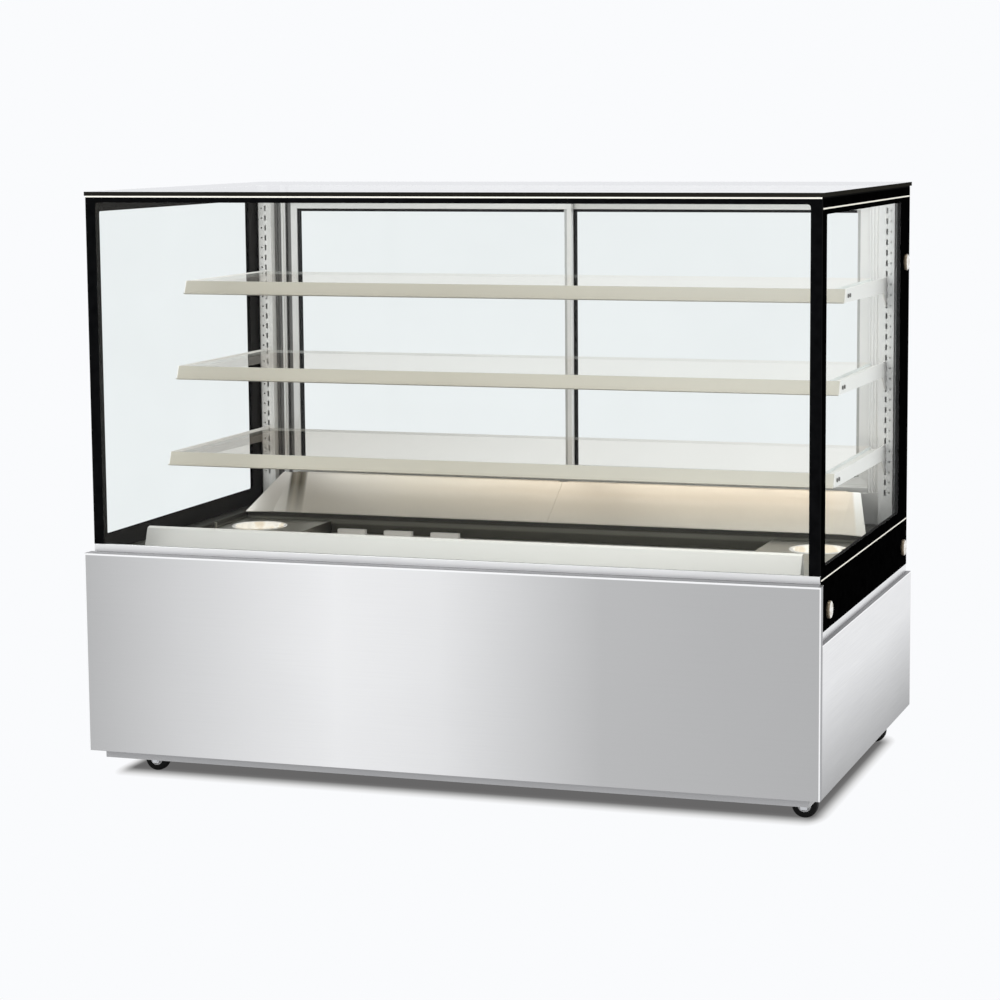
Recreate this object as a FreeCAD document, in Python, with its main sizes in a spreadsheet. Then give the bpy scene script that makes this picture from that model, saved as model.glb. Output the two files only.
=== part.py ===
import FreeCAD, Part
import os
import re

import Sketcher
from FreeCAD import Placement, Rotation, Vector

# Hot food display case: a heated glass cabinet on castors, loaded from behind.
# Frame: X along the front, Y from the front to the back, Z up. The origin is on the
# floor under the middle of the case. Millimetres.

DIMS = {
    # whole case
    "width": 1500, "depth": 900, "height": 1180, "gauge": 1.5,
    # castors
    "castor_x": 675, "castor_y": 335, "castor_high": 70, "castor_trail": 22,
    "wheel_radius": 25, "wheel_width": 20, "axle_radius": 4, "kingpin_radius": 5,
    "arm_gap": 12, "arm_gauge": 2.5, "race_gap": 0.5, "crown_top": 56, "running_gap": 0.05,
    # welded base
    "frame_inset": 25, "frame_wall": 3, "frame_low": 42, "frame_high": 85, "frame_flange": 40,
    "gusset": 120, "post_size": 30, "post_x": 690, "post_y": 370,
    # cabinet panels
    "skirt": 60, "front_top": 462, "side_top": 351, "panel_return": 16, "panel_lip": 15,
    "rear_recess": 20, "rear_top": 456.5,
    # glass box
    "glass_gauge": 8, "glass_setback": 29, "glass_inset": 9, "front_glass_low": 477,
    "side_glass_low": 368, "glass_rear": 440, "lid_gauge": 8, "lid_over": 3, "trim_high": 3,
    "cap_radius": 17, "cap_high": 7, "cap_stud": 5, "cap_hole": 6,
    # heated well
    "casing_low": 300, "casing_rear": 392, "well_x": 700, "well_front": -325, "well_rear": 235,
    "well_low": 345, "ledge": 455, "grille_level": 415, "grille_x": 497, "plate_level": 441,
    "pan_x": 620, "pan_y": 120, "pan_radius": 54, "pan_deep": 58, "pan_rim": 60,
    "fan_x": 300, "fan_y": 0, "fan_level": 362, "fan_size": 120, "fan_high": 25,
    "heater_radius": 5, "heater_y": 130, "heater_level": 395, "heater_x": 250,
    # air deflectors
    "deflector_x": 680, "deflector_y": -319, "deflector_lean": 16, "deflector_high": 40,
    "mirror_x": 640, "mirror_low_y": 237, "mirror_top_y": 352, "mirror_top": 530,
    # shelves
    "shelf_top": 983, "shelf_front": -42, "shelf_step": 46, "shelf_rear": 335, "shelf_x": 683,
    "shelf_gauge": 6, "rail_x": 705, "rail_high": 28, "rail_lean": 10,
    "slot_pitch": 22, "slots_per_shelf": 8, "slot_x": 706.25, "slot_wide": 4, "slot_high": 12,
    "upright_x": 692, "upright_wide": 30, "upright_y": 375, "upright_top": 1160,
    # sliding doors
    "jamb_x": 665, "frame_y": 395, "frame_deep": 50, "sill_top": 523, "head_low": 1150,
    "rib_high": 12, "door_low": 524, "door_top": 1145, "door_edge": 664, "door_overlap": 6,
    "door_gauge": 16, "front_track": 402, "rear_track": 423, "stile": 24, "meeting_stile": 10, "seal": 6,
    "pane": 5, "seal_gauge": 10,
    # rear controls
    "control_x": 560, "control_z": 405, "switch_x": 480, "switch_pitch": 40,
    "rocker_tilt": 8, "rocker_half": 11, "rocker_wide": 12, "gland_x": -600, "gland_z": 120,
    "gland_bore": 5,
}

SIDES = (("left", -1), ("right", 1))
SHELVES = ("top", "middle", "bottom")
CAP_PLACES = ((-350, 404), (393, 410), (393, 1014))

doc = FreeCAD.newDocument("DisplayCase")
sheet = doc.addObject("Spreadsheet::Sheet", "Dims")
parts = {}


def fill_sheet():
    """Writes every driving dimension to its own row, with its name as the alias."""
    for row, (name, value) in enumerate(DIMS.items(), 1):
        sheet.set(f"A{row}", name)
        sheet.set(f"B{row}", str(value))
        sheet.setAlias(f"B{row}", name)
    doc.recompute()


def bound(text):
    """Turns an expression in the sheet's names into one that FreeCAD can read."""
    return re.sub(r"[a-z][a-z_]+", lambda found: "Dims." + found.group(0), str(text))


def put(item, corner, turn=None):
    """Binds an object's place to three expressions, after an optional fixed turn."""
    if turn:
        item.Placement = Placement(Vector(), turn)
    for axis, value in zip("xyz", corner):
        item.setExpression(f"Placement.Base.{axis}", bound(value))
    return item


def span(low, high):
    return f"({high}) - ({low})"


def mirrored(sign, inner, outer):
    """The span between two distances from the middle, on the side that sign names."""
    if sign > 0:
        return inner, outer
    return f"-({outer})", f"-({inner})"


def block(name, x, y, z):
    """A box between two expressions on each axis."""
    item = doc.addObject("Part::Box", name)
    for side, (low, high) in zip(("Length", "Width", "Height"), (x, y, z)):
        item.setExpression(side, bound(span(low, high)))
    return put(item, (x[0], y[0], z[0]))


TURNS = {
    "X": Rotation(Vector(0, 1, 0), 90),
    "Y": Rotation(Vector(1, 0, 0), -90),
    "Z": Rotation(),
}


def rod(name, start, radius, length, along="Z"):
    """A cylinder from a start point along one axis."""
    item = doc.addObject("Part::Cylinder", name)
    item.setExpression("Radius", bound(radius))
    item.setExpression("Height", bound(length))
    return put(item, start, TURNS[along])


def hexagon(name, start, radius, length, along="Z"):
    item = doc.addObject("Part::Prism", name)
    item.Polygon = 6
    item.setExpression("Circumradius", bound(radius))
    item.setExpression("Height", bound(length))
    return put(item, start, TURNS[along])


def group(name, items):
    item = doc.addObject("Part::Compound", name)
    item.Links = list(items)
    return item


def fuse(name, items):
    item = doc.addObject("Part::MultiFuse", name)
    item.Shapes = list(items)
    item.Refine = True
    return item


def cut(name, base, tools):
    """Takes the tools, which may be many, out of the base."""
    item = doc.addObject("Part::Cut", name)
    item.Base = base
    item.Tool = tools[0] if len(tools) == 1 else group(name + "_tools", tools)
    return item


def keep(label, item):
    """Names a finished sub-part: its label is its file's name."""
    item.Label = label
    parts[label] = item
    return item


def sketch_in(body, name, plane, offset, outline):
    """A closed outline whose corners are all held by expressions."""
    sketch = body.newObject("Sketcher::SketchObject", name)
    support = next(f for f in body.Origin.OriginFeatures if f.Role == plane)
    sketch.AttachmentSupport = (support, [""])
    sketch.MapMode = "FlatFace"
    sketch.setExpression("AttachmentOffset.Base.z", bound(offset))
    count = len(outline)
    for i in range(count):
        start = Vector(i, i * i * 0.1, 0)
        end = Vector(i + 1, (i + 1) ** 2 * 0.1, 0)
        sketch.addGeometry(Part.LineSegment(start, end))
    for i in range(count):
        sketch.addConstraint(Sketcher.Constraint("Coincident", i, 2, (i + 1) % count, 1))
    for i, corner in enumerate(outline):
        for kind, value in zip(("DistanceX", "DistanceY"), corner):
            row = sketch.addConstraint(Sketcher.Constraint(kind, -1, 1, i, 1, 1.0))
            sketch.setExpression(f"Constraints[{row}]", bound(value))
    return sketch


def extrusion(name, plane, outline, low, high):
    """A sketched section padded between two expressions along its plane's normal."""
    body = doc.addObject("PartDesign::Body", name)
    backwards = plane == "XZ_Plane"
    offset = f"-({low})" if backwards else low
    pad = body.newObject("PartDesign::Pad", name + "_pad")
    pad.Profile = sketch_in(body, name + "_outline", plane, offset, outline)
    pad.setExpression("Length", bound(span(low, high)))
    pad.Reversed = backwards
    return body


def turned(name, outline, centre, along):
    """A section in radius and height, turned about one axis through the centre."""
    body = doc.addObject("PartDesign::Body", name)
    sketch = sketch_in(body, name + "_outline", "XZ_Plane", "0", outline)
    revolution = body.newObject("PartDesign::Revolution", name + "_turn")
    revolution.Profile = sketch
    revolution.ReferenceAxis = (sketch, ["V_Axis"])
    revolution.Angle = 360
    turn = along if isinstance(along, Rotation) else TURNS[along]
    return put(body, centre, turn)


def feature(name, shape):
    item = doc.addObject("Part::Feature", name)
    item.Shape = shape
    return item


# ---------------------------------------------------------------- castors

def castor_plate(name, x, y):
    """A top plate with the raised ball race, bored for the kingpin."""
    plate = block(name + "_plate", (f"{x} - 35", f"{x} + 35"), (f"{y} - 30", f"{y} + 30"),
                  ("castor_high - 3", "castor_high"))
    race = rod(name + "_race", (x, y, "crown_top + race_gap"), 18,
               "castor_high - 3 - crown_top - race_gap")
    bore = rod(name + "_bore", (x, y, "crown_top"), "kingpin_radius + running_gap",
               "castor_high - 1 - crown_top")
    screws = [rod(f"{name}_hole_{i}", (f"{x} + {26 * sx}", f"{y} + {21 * sy}", "castor_high - 4"),
                  3.3, 5)
              for i, (sx, sy) in enumerate(((-1, -1), (1, -1), (-1, 1), (1, 1)))]
    return cut(name, fuse(name + "_solid", [plate, race]), [bore] + screws)


def castor_fork(name, x, y):
    """A fork with its kingpin and axle, trailing towards the right-hand end."""
    arm = [("-12", "crown_top"), ("16", "crown_top"), ("castor_trail + 9", "wheel_radius + 2"),
           ("castor_trail + 6", "wheel_radius - 8"), ("castor_trail - 6", "wheel_radius - 8"),
           ("castor_trail - 9", "wheel_radius + 2")]
    outline = [(f"{x} + ({along})", high) for along, high in arm]
    outer = "(arm_gap + arm_gauge)"
    arms = []
    for side, sign in SIDES:
        low, high = mirrored(sign, "arm_gap", outer)
        arms.append(extrusion(f"{name}_arm_{side}", "XZ_Plane", outline,
                              f"{y} + ({low})", f"{y} + ({high})"))
    crown = block(name + "_crown", (f"{x} - 12", f"{x} + 16"),
                  (f"{y} - {outer}", f"{y} + {outer}"), ("crown_top - 3", "crown_top"))
    pin = rod(name + "_kingpin", (x, y, "crown_top - 1"), "kingpin_radius",
              "castor_high - 2 - crown_top")
    axle_x = f"{x} + castor_trail"
    axle = rod(name + "_axle", (axle_x, f"{y} - {outer}", "wheel_radius"), "axle_radius",
               f"2 * {outer}", "Y")
    heads = [hexagon(f"{name}_nut_{i}", (axle_x, start, "wheel_radius"), 6.5, 3, "Y")
             for i, start in enumerate((f"{y} - {outer} - 3", f"{y} + {outer}"))]
    return fuse(name, arms + [crown, pin, axle] + heads)


def castor_wheel(name, x, y):
    """A tyre on a spoked-look hub, bored to run on the axle."""
    half = "wheel_width / 2"
    bore = "axle_radius + running_gap"
    outline = [(bore, "-11"), ("9", "-11"), ("9", "-7"), ("16", "-7"), ("18", f"-{half}"),
               ("wheel_radius - 3", f"-{half}"), ("wheel_radius - 0.8", f"-{half} + 2.5"),
               ("wheel_radius", f"-{half} + 6"), ("wheel_radius", f"{half} - 6"),
               ("wheel_radius - 0.8", f"{half} - 2.5"), ("wheel_radius - 3", half),
               ("18", half), ("16", "7"), ("9", "7"), ("9", "11"), (bore, "11")]
    return turned(name, outline, (f"{x} + castor_trail", y, "wheel_radius"), "Y")


def build_castors():
    plates = []
    for end, y_sign in (("front", -1), ("rear", 1)):
        for side, x_sign in SIDES:
            name = f"{end}_{side}"
            x, y = f"{x_sign} * castor_x", f"{y_sign} * castor_y"
            plates.append(castor_plate(name + "_castor_plate", x, y))
            keep(name + "_fork", castor_fork(name + "_fork", x, y))
            keep(name + "_wheel", castor_wheel(name + "_wheel", x, y))
    keep("castor_plates", group("castor_plates", plates))


# ---------------------------------------------------------------- welded base

def build_base():
    """Perimeter channel, castor gussets, cross members and posts, welded as one piece."""
    x_out, y_out = "(width / 2 - frame_inset)", "(depth / 2 - frame_inset)"
    z = ("frame_low", "frame_high")
    flange_z = ("frame_high - frame_wall", "frame_high")
    pieces = []
    for side, sign in SIDES:
        wall = mirrored(sign, f"{x_out} - frame_wall", x_out)
        flange = mirrored(sign, f"{x_out} - frame_flange", x_out)
        lengthwise = (f"-{y_out}", y_out)
        pieces.append(block(f"base_wall_{side}", wall, lengthwise, z))
        pieces.append(block(f"base_flange_{side}", flange, lengthwise, flange_z))
    for end, sign in (("front", -1), ("rear", 1)):
        wall = mirrored(sign, f"{y_out} - frame_wall", y_out)
        flange = mirrored(sign, f"{y_out} - frame_flange", y_out)
        crosswise = (f"-{x_out}", x_out)
        pieces.append(block(f"base_wall_{end}", crosswise, wall, z))
        pieces.append(block(f"base_flange_{end}", crosswise, flange, flange_z))
    for x_sign in (-1, 1):
        for y_sign in (-1, 1):
            tag = f"{x_sign + 1}{y_sign + 1}"
            x = mirrored(x_sign, f"{x_out} - gusset", x_out)
            y = mirrored(y_sign, f"{y_out} - gusset - 30", y_out)
            pieces.append(block("base_gusset_" + tag, x, y,
                                ("castor_high", "castor_high + frame_wall")))
            pieces.append(block("base_post_" + tag,
                                (f"{x_sign} * post_x - post_size / 2",
                                 f"{x_sign} * post_x + post_size / 2"),
                                (f"{y_sign} * post_y - post_size / 2",
                                 f"{y_sign} * post_y + post_size / 2"),
                                ("castor_high", "casing_low")))
        x = (f"{x_sign} * 250 - 20", f"{x_sign} * 250 + 20")
        pieces.append(block(f"base_cross_{x_sign + 1}", x, (f"-{y_out}", y_out),
                            ("frame_high - 25", "frame_high")))
    keep("base_frame", fuse("base_frame", pieces))
    inner_x = "width / 2 - frame_inset - 2"
    inner_y = "depth / 2 - frame_inset - 2"
    pan = block("floor_sheet", (f"-({inner_x})", inner_x), (f"-({inner_y})", inner_y),
                ("frame_high", "frame_high + gauge"))
    holes = [block(f"floor_hole_{x}_{y}",
                   (f"{x} * post_x - post_size / 2 - 1", f"{x} * post_x + post_size / 2 + 1"),
                   (f"{y} * post_y - post_size / 2 - 1", f"{y} * post_y + post_size / 2 + 1"),
                   ("frame_high - 1", "frame_high + 5"))
             for x in (-1, 1) for y in (-1, 1)]
    keep("floor_pan", cut("floor_pan", pan, holes))


# ---------------------------------------------------------------- cabinet panels

def build_panels():
    front = "(-depth / 2)"
    inside = "(width / 2 - gauge)"
    folded = [("-width / 2", f"{front} + panel_return"), ("-width / 2", front),
              ("width / 2", front), ("width / 2", f"{front} + panel_return"),
              (inside, f"{front} + panel_return"), (inside, f"{front} + gauge"),
              (f"-{inside}", f"{front} + gauge"), (f"-{inside}", f"{front} + panel_return")]
    face = extrusion("front_face", "XY_Plane", folded, "skirt", "front_top")
    top = block("front_top_flange", (f"-{inside}", inside),
                (f"{front} + gauge", f"{front} + glass_setback"), ("front_top - gauge", "front_top"))
    bottom = block("front_bottom_flange", (f"-{inside}", inside),
                   (f"{front} + gauge", f"{front} + panel_lip"), ("skirt", "skirt + gauge"))
    keep("front_panel", fuse("front_panel", [face, top, bottom]))

    for side, sign in SIDES:
        out, skin = f"{sign} * width / 2", f"{sign} * (width / 2 - gauge)"
        lip = f"{sign} * (width / 2 - glass_inset - glass_gauge)"
        foot = f"{sign} * (width / 2 - panel_lip)"
        section = [(out, "skirt"), (out, "side_top"), (lip, "side_top"),
                   (lip, "side_top - gauge"), (skin, "side_top - gauge"), (skin, "skirt + gauge"),
                   (foot, "skirt + gauge"), (foot, "skirt")]
        sheet_metal = extrusion(f"{side}_skin", "XZ_Plane", section,
                                f"{front} + panel_return", "depth / 2")
        x = mirrored(sign, "width / 2 - panel_lip", "width / 2 - gauge")
        back = block(f"{side}_back_flange", x, ("depth / 2 - gauge", "depth / 2"),
                     ("skirt", "side_top"))
        keep(side + "_panel", fuse(side + "_panel", [sheet_metal, back]))
    build_rear_panel(inside)


def build_rear_panel(inside):
    """The service panel: louvred, with cut-outs for the controls and the gland."""
    rear = "(depth / 2 - rear_recess)"
    shoulder = "(width / 2 - glass_inset - glass_gauge - 1)"
    outline = [(f"-{inside}", "skirt + gauge"), (inside, "skirt + gauge"),
               (inside, "side_top - gauge"),
               (shoulder, "side_top - gauge"), (shoulder, "rear_top"), (f"-{shoulder}", "rear_top"),
               (f"-{shoulder}", "side_top - gauge"), (f"-{inside}", "side_top - gauge")]
    skin = extrusion("rear_skin", "XZ_Plane", outline, f"{rear} - gauge", rear)
    shelf = block("rear_flange", (f"-{shoulder}", shoulder), ("frame_y", f"{rear} - gauge"),
                  ("rear_top - gauge", "rear_top"))
    through = (f"{rear} - 5", f"{rear} + 5")
    tools = [block(f"louvre_{bank}_{row}", (f"{x} - 80", f"{x} + 80"), through,
                   (f"150 + {row * 14}", f"156 + {row * 14}"))
             for bank, x in enumerate((-330, 0, 330)) for row in range(10)]
    tools.append(block("control_cutout", ("control_x - 35.5", "control_x + 35.5"), through,
                       ("control_z - 14.5", "control_z + 14.5")))
    for i in range(2):
        x = f"switch_x - {i} * switch_pitch"
        tools.append(block(f"switch_cutout_{i}", (f"{x} - 9.5", f"{x} + 9.5"), through,
                           ("control_z - 16", "control_z + 16")))
    tools.append(rod("gland_cutout", ("gland_x", f"{rear} - 5", "gland_z"), 10.3, 10, "Y"))
    keep("rear_panel", cut("rear_panel", fuse("rear_sheet", [skin, shelf]), tools))


# ---------------------------------------------------------------- glass box and its trims

def build_trims():
    front = "(-depth / 2 + glass_setback)"
    back = "(-depth / 2 + glass_setback + glass_gauge)"
    section = [(front, "front_top"), (back, "front_top"), (back, "front_top + gauge"),
               (f"{front} + gauge", "front_top + gauge"), (f"{front} + gauge", "front_glass_low - gauge"),
               (back, "front_glass_low - gauge"), (back, "front_glass_low"), (front, "front_glass_low")]
    x = "width / 2 - glass_inset"
    keep("front_trim", extrusion("front_trim", "YZ_Plane", section, f"-({x})", x))

    channels = []
    for side, sign in SIDES:
        out, inner = f"{sign} * ({x})", f"{sign} * ({x} - glass_gauge)"
        skin = f"{sign} * ({x} - gauge)"
        section = [(out, "side_top"), (out, "side_glass_low"), (inner, "side_glass_low"),
                   (inner, "side_glass_low - gauge"), (skin, "side_glass_low - gauge"),
                   (skin, "side_top + gauge"), (inner, "side_top + gauge"), (inner, "side_top")]
        channels.append(extrusion(f"{side}_side_trim", "XZ_Plane", section, back, "glass_rear"))
    keep("side_trims", group("side_trims", channels))


def build_glass():
    front = "(-depth / 2 + glass_setback)"
    back = "(-depth / 2 + glass_setback + glass_gauge)"
    edge = "(width / 2 - glass_inset)"
    top = "(height - lid_gauge - trim_high)"
    keep("front_glass", block("front_glass", (f"-{edge}", edge), (front, back),
                              ("front_glass_low", top)))
    caps = []
    strips = [block("top_strip_front", (f"-{edge}", edge), (front, back),
                    (top, "height - lid_gauge"))]
    for side, sign in SIDES:
        x = mirrored(sign, f"{edge} - glass_gauge", edge)
        pane = block(f"{side}_pane", x, (back, "glass_rear"), ("side_glass_low", top))
        holes = []
        for i, (y, z) in enumerate(CAP_PLACES):
            holes.append(rod(f"{side}_cap_hole_{i}", (f"{x[0]} - 1", y, z), "cap_hole",
                             "glass_gauge + 2", "X"))
            caps.append(glass_cap(f"{side}_cap_{i}", f"{sign} * {edge}", y, z, sign))
        keep(side + "_glass", cut(side + "_glass", pane, holes))
        strips.append(block(f"top_strip_{side}", x, (back, "glass_rear"),
                            (top, "height - lid_gauge")))
    keep("glass_caps", group("glass_caps", caps))
    keep("top_trim", group("top_trim", strips))

    body = doc.addObject("PartDesign::Body", "lid")
    over = f"({edge} + lid_over)"
    outline = [(f"-{over}", f"{front} - lid_over"), (over, f"{front} - lid_over"),
               (over, "depth / 2"), (f"-{over}", "depth / 2")]
    pad = body.newObject("PartDesign::Pad", "lid_pad")
    pad.Profile = sketch_in(body, "lid_outline", "XY_Plane", "height - lid_gauge", outline)
    pad.setExpression("Length", bound("lid_gauge"))
    doc.recompute()
    corners = [f"Edge{i}" for i, line in enumerate(pad.Shape.Edges, 1)
               if abs(line.tangentAt(line.FirstParameter).z) > 0.9]
    rounding = body.newObject("PartDesign::Fillet", "lid_corners")
    rounding.Base = (pad, corners)
    rounding.Radius = 4
    keep("lid", body)


def glass_cap(name, x, y, z, sign):
    """A polished standoff cap with a domed rim and a stud through the glass."""
    outline = [("0", "-glass_gauge"), ("cap_stud", "-glass_gauge"), ("cap_stud", "0"),
               ("cap_radius - 0.5", "0"), ("cap_radius", "0.5"), ("cap_radius", "cap_high - 2"),
               ("cap_radius - 0.6", "cap_high - 0.8"), ("cap_radius - 2", "cap_high"),
               ("0", "cap_high")]
    return turned(name, outline, (x, y, z), Rotation(Vector(0, 1, 0), 90 * sign))


# ---------------------------------------------------------------- heated well

def build_well():
    x_out = "(width / 2 - glass_inset - glass_gauge)"
    front = "(-depth / 2 + glass_setback + glass_gauge)"
    outer = block("casing_outer", (f"-{x_out}", x_out), (front, "casing_rear"),
                  ("casing_low", "ledge - gauge"))
    inner = block("casing_inner", (f"-({x_out} - gauge)", f"{x_out} - gauge"),
                  (f"{front} + gauge", "casing_rear - gauge"), ("casing_low + gauge", "ledge + 5"))
    keep("well_casing", cut("well_casing", outer, [inner]))

    fill = block("insulation_block", (f"-({x_out} - gauge)", f"{x_out} - gauge"),
                 (f"{front} + gauge", "casing_rear - gauge"),
                 ("casing_low + gauge", "ledge - gauge"))
    hollow = block("insulation_hollow", ("-well_x - gauge", "well_x + gauge"),
                   ("well_front - gauge", "well_rear + gauge"), ("well_low - gauge", "ledge"))
    keep("insulation", cut("insulation", fill, [hollow]))

    tub = block("tub_outer", ("-well_x - gauge", "well_x + gauge"),
                ("well_front - gauge", "well_rear + gauge"), ("well_low - gauge", "ledge"))
    rim = block("tub_rim", (f"-{x_out}", x_out), (front, "casing_rear"),
                ("ledge - gauge", "ledge"))
    room = block("tub_room", ("-well_x", "well_x"), ("well_front", "well_rear"),
                 ("well_low", "ledge + 5"))
    keep("deck_tub", cut("deck_tub", fuse("tub_solid", [tub, rim]), [room]))
    build_grille()
    build_deck_plates()
    build_heating()


def build_grille():
    """The floor of the well: slotted along the front and the back, with three raised hoods."""
    y = ("well_front + 1", "well_rear - 1")
    low = "grille_level - gauge"
    sheet_top = block("grille_sheet", ("-grille_x", "grille_x"), y, (low, "grille_level"))
    legs = [block(f"grille_leg_{i}", x, y, ("well_low", "grille_level"))
            for i, x in enumerate((("-grille_x", "-grille_x + gauge"),
                                   ("grille_x - gauge", "grille_x")))]
    tools, hoods = [], []
    for row, start in enumerate(("well_front + 14", "well_rear - 50")):
        for i in range(9):
            x = (f"-464 + {i * 108}", f"-464 + {i * 108 + 64}")
            tools.append(block(f"vent_{row}_{i}", (f"{x[0]} + 2", f"{x[1]} - 2"),
                               (f"{start} + 2", f"{start} + 34"), (f"{low} - 1", "grille_level + 1")))
            if row and i < 3:
                hoods.append(block(f"hood_{i}", x, (start, f"{start} + 12"),
                                   (low, "grille_level + 16")))
    slotted = cut("grille_slotted", fuse("grille_plain", [sheet_top] + legs), tools)
    keep("air_grille", fuse("air_grille", [slotted] + hoods))


def build_deck_plates():
    """End plates of the deck, each with a round opening for its water pan and a peg."""
    plates, pans = [], []
    for side, sign in SIDES:
        x = mirrored(sign, "grille_x + 2", "well_x - 1")
        y = ("well_front + 1", "well_rear - 1")
        top = block(f"{side}_plate_sheet", x, y, ("plate_level - gauge", "plate_level"))
        leg_x = mirrored(sign, "grille_x + 2", "grille_x + 2 + gauge")
        leg = block(f"{side}_plate_leg", leg_x, y, ("well_low", "plate_level"))
        peg = rod(f"{side}_peg", (f"{sign} * 688", 40, "plate_level - 1"), 3, 17)
        hole = rod(f"{side}_pan_hole", (f"{sign} * pan_x", "pan_y", "plate_level - 10"),
                   "pan_radius + 1.5", 20)
        solid = fuse(f"{side}_plate_solid", [top, leg, peg])
        plates.append(cut(f"{side}_deck_plate", solid, [hole]))
        pans.append(water_pan(f"{side}_water_pan", f"{sign} * pan_x"))
    keep("deck_plates", group("deck_plates", plates))
    keep("water_pans", group("water_pans", pans))


def water_pan(name, x):
    """A round humidity pan that hangs in its opening by a rolled rim."""
    wall = "(pan_radius - 1)"
    outline = [("0", "-pan_deep"), ("pan_radius - 6", "-pan_deep"), ("pan_radius", "-pan_deep + 8"),
               ("pan_radius", "0"), ("pan_rim", "0"), ("pan_rim", "1.2"),
               ("pan_rim - 1", "2"), (f"{wall}", "1.2"), (wall, "-pan_deep + 8.5"),
               (f"{wall} - 5.5", "-pan_deep + 1"), ("0", "-pan_deep + 1")]
    return turned(name, outline, (x, "pan_y", "plate_level"), "Z")


def build_heating():
    """Two fans that stir the air and two U-shaped heating elements."""
    housings = []
    for side, sign in SIDES:
        x = f"{sign} * fan_x"
        low, top = "fan_level", "fan_level + fan_high"
        half = "fan_size / 2"
        box = block(f"{side}_fan_box", (f"{x} - {half}", f"{x} + {half}"),
                    (f"fan_y - {half}", f"fan_y + {half}"), (low, top))
        duct = rod(f"{side}_fan_duct", (x, "fan_y", "fan_level - 1"), 57, "fan_high + 2")
        ring = cut(f"{side}_fan_ring", box, [duct])
        struts = [block(f"{side}_strut_x", (f"{x} - 58", f"{x} + 58"), ("fan_y - 3", "fan_y + 3"),
                        (low, "fan_level + 3")),
                  block(f"{side}_strut_y", (f"{x} - 3", f"{x} + 3"), ("fan_y - 58", "fan_y + 58"),
                        (low, "fan_level + 3"))]
        motor = rod(f"{side}_motor", (x, "fan_y", low), 18, 5)
        shaft = rod(f"{side}_shaft", (x, "fan_y", low), 3, 18)
        feet = [rod(f"{side}_foot_{i}", (f"{x} + {52 * sx}", f"fan_y + {52 * sy}", "well_low"), 5,
                    "fan_level - well_low + 1")
                for i, (sx, sy) in enumerate(((-1, -1), (1, -1), (-1, 1), (1, 1)))]
        housings.append(fuse(f"{side}_fan_housing", [ring, motor, shaft] + struts + feet))
        keep(side + "_fan", fan_rotor(f"{side}_fan", sign * DIMS["fan_x"]))
    keep("fan_housings", group("fan_housings", housings))

    tubes = []
    for end, sign in (("front", -1), ("rear", 1)):
        middle = f"{sign} * heater_y"
        runs = [rod(f"{end}_run_{i}", ("-heater_x", f"{middle} + {offset}", "heater_level"),
                    "heater_radius", "2 * heater_x", "X")
                for i, offset in enumerate((-40, 40))]
        bend = doc.addObject("Part::Torus", f"{end}_bend")
        bend.Radius1 = 40
        bend.setExpression("Radius2", bound("heater_radius"))
        bend.Angle3 = 180
        put(bend, ("heater_x", middle, "heater_level"), Rotation(Vector(0, 0, 1), -90))
        feet = [rod(f"{end}_stand_{i}", (x, f"{middle} + {offset}", "well_low"), 2.5,
                    "heater_level - well_low")
                for i, (x, offset) in enumerate(((-220, -40), (-220, 40), (220, -40), (220, 40)))]
        tubes.append(fuse(f"{end}_element", runs + [bend] + feet))
    keep("heater_elements", group("heater_elements", tubes))


def fan_rotor(name, x):
    """A hub with seven twisted blades, bored to run on the motor's shaft."""
    hub_radius, tip_radius, high, twist = 17, 54, 14, 38
    low = DIMS["fan_level"] + 7
    hub = Part.makeCylinder(hub_radius, high, Vector(0, 0, 0))
    root = Part.makePolygon([Vector(hub_radius - 3, -1, 0), Vector(hub_radius - 3, 1, 0),
                             Vector(tip_radius, 1, 0), Vector(tip_radius, -1, 0),
                             Vector(hub_radius - 3, -1, 0)])
    pitched = root.copy()
    pitched.rotate(Vector(), Vector(0, 0, 1), twist)
    pitched.translate(Vector(0, 0, high - 2))
    blade = Part.makeLoft([root, pitched], True, True)
    blade.translate(Vector(0, 0, 1))
    blades = []
    for i in range(7):
        turned_blade = blade.copy()
        turned_blade.rotate(Vector(), Vector(0, 0, 1), i * 360 / 7)
        blades.append(turned_blade)
    rotor = hub.fuse(blades)
    rotor = rotor.cut(Part.makeCylinder(3 + DIMS["running_gap"], high - 2, Vector(0, 0, 0)))
    item = feature(name, rotor.removeSplitter())
    item.Placement = Placement(Vector(x, DIMS["fan_y"], low), Rotation())
    return item


# ---------------------------------------------------------------- deflectors

def build_deflectors():
    foot, lean, high = "deflector_y", "deflector_lean", "deflector_high"
    section = [(foot, "ledge"), (f"{foot} + {lean}", f"ledge + {high}"),
               (f"{foot} + {lean} + 9", f"ledge + {high} + 3"),
               (f"{foot} + {lean} + 9.5", f"ledge + {high} + 1.5"),
               (f"{foot} + {lean} + 1.5", f"ledge + {high} - 1.2"),
               (f"{foot} + 2.2", "ledge + gauge"), (f"{foot} + 20", "ledge + gauge"),
               (f"{foot} + 20", "ledge")]
    band = extrusion("front_band", "YZ_Plane", section, "-deflector_x", "deflector_x")
    cheek = [(foot, "ledge"), (f"{foot} + {lean}", f"ledge + {high}"),
             (f"{foot} + {lean} + 9", f"ledge + {high} + 3"), (f"{foot} + 34", "ledge")]
    cheeks = [extrusion(f"{side}_cheek", "YZ_Plane", cheek,
                        *mirrored(sign, "deflector_x - 1", "deflector_x + 1"))
              for side, sign in SIDES]
    keep("front_deflector", fuse("front_deflector", [band] + cheeks))
    keep("rear_deflector", group("rear_deflector",
                                 [rear_deflector_half(side, sign) for side, sign in SIDES]))


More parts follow.
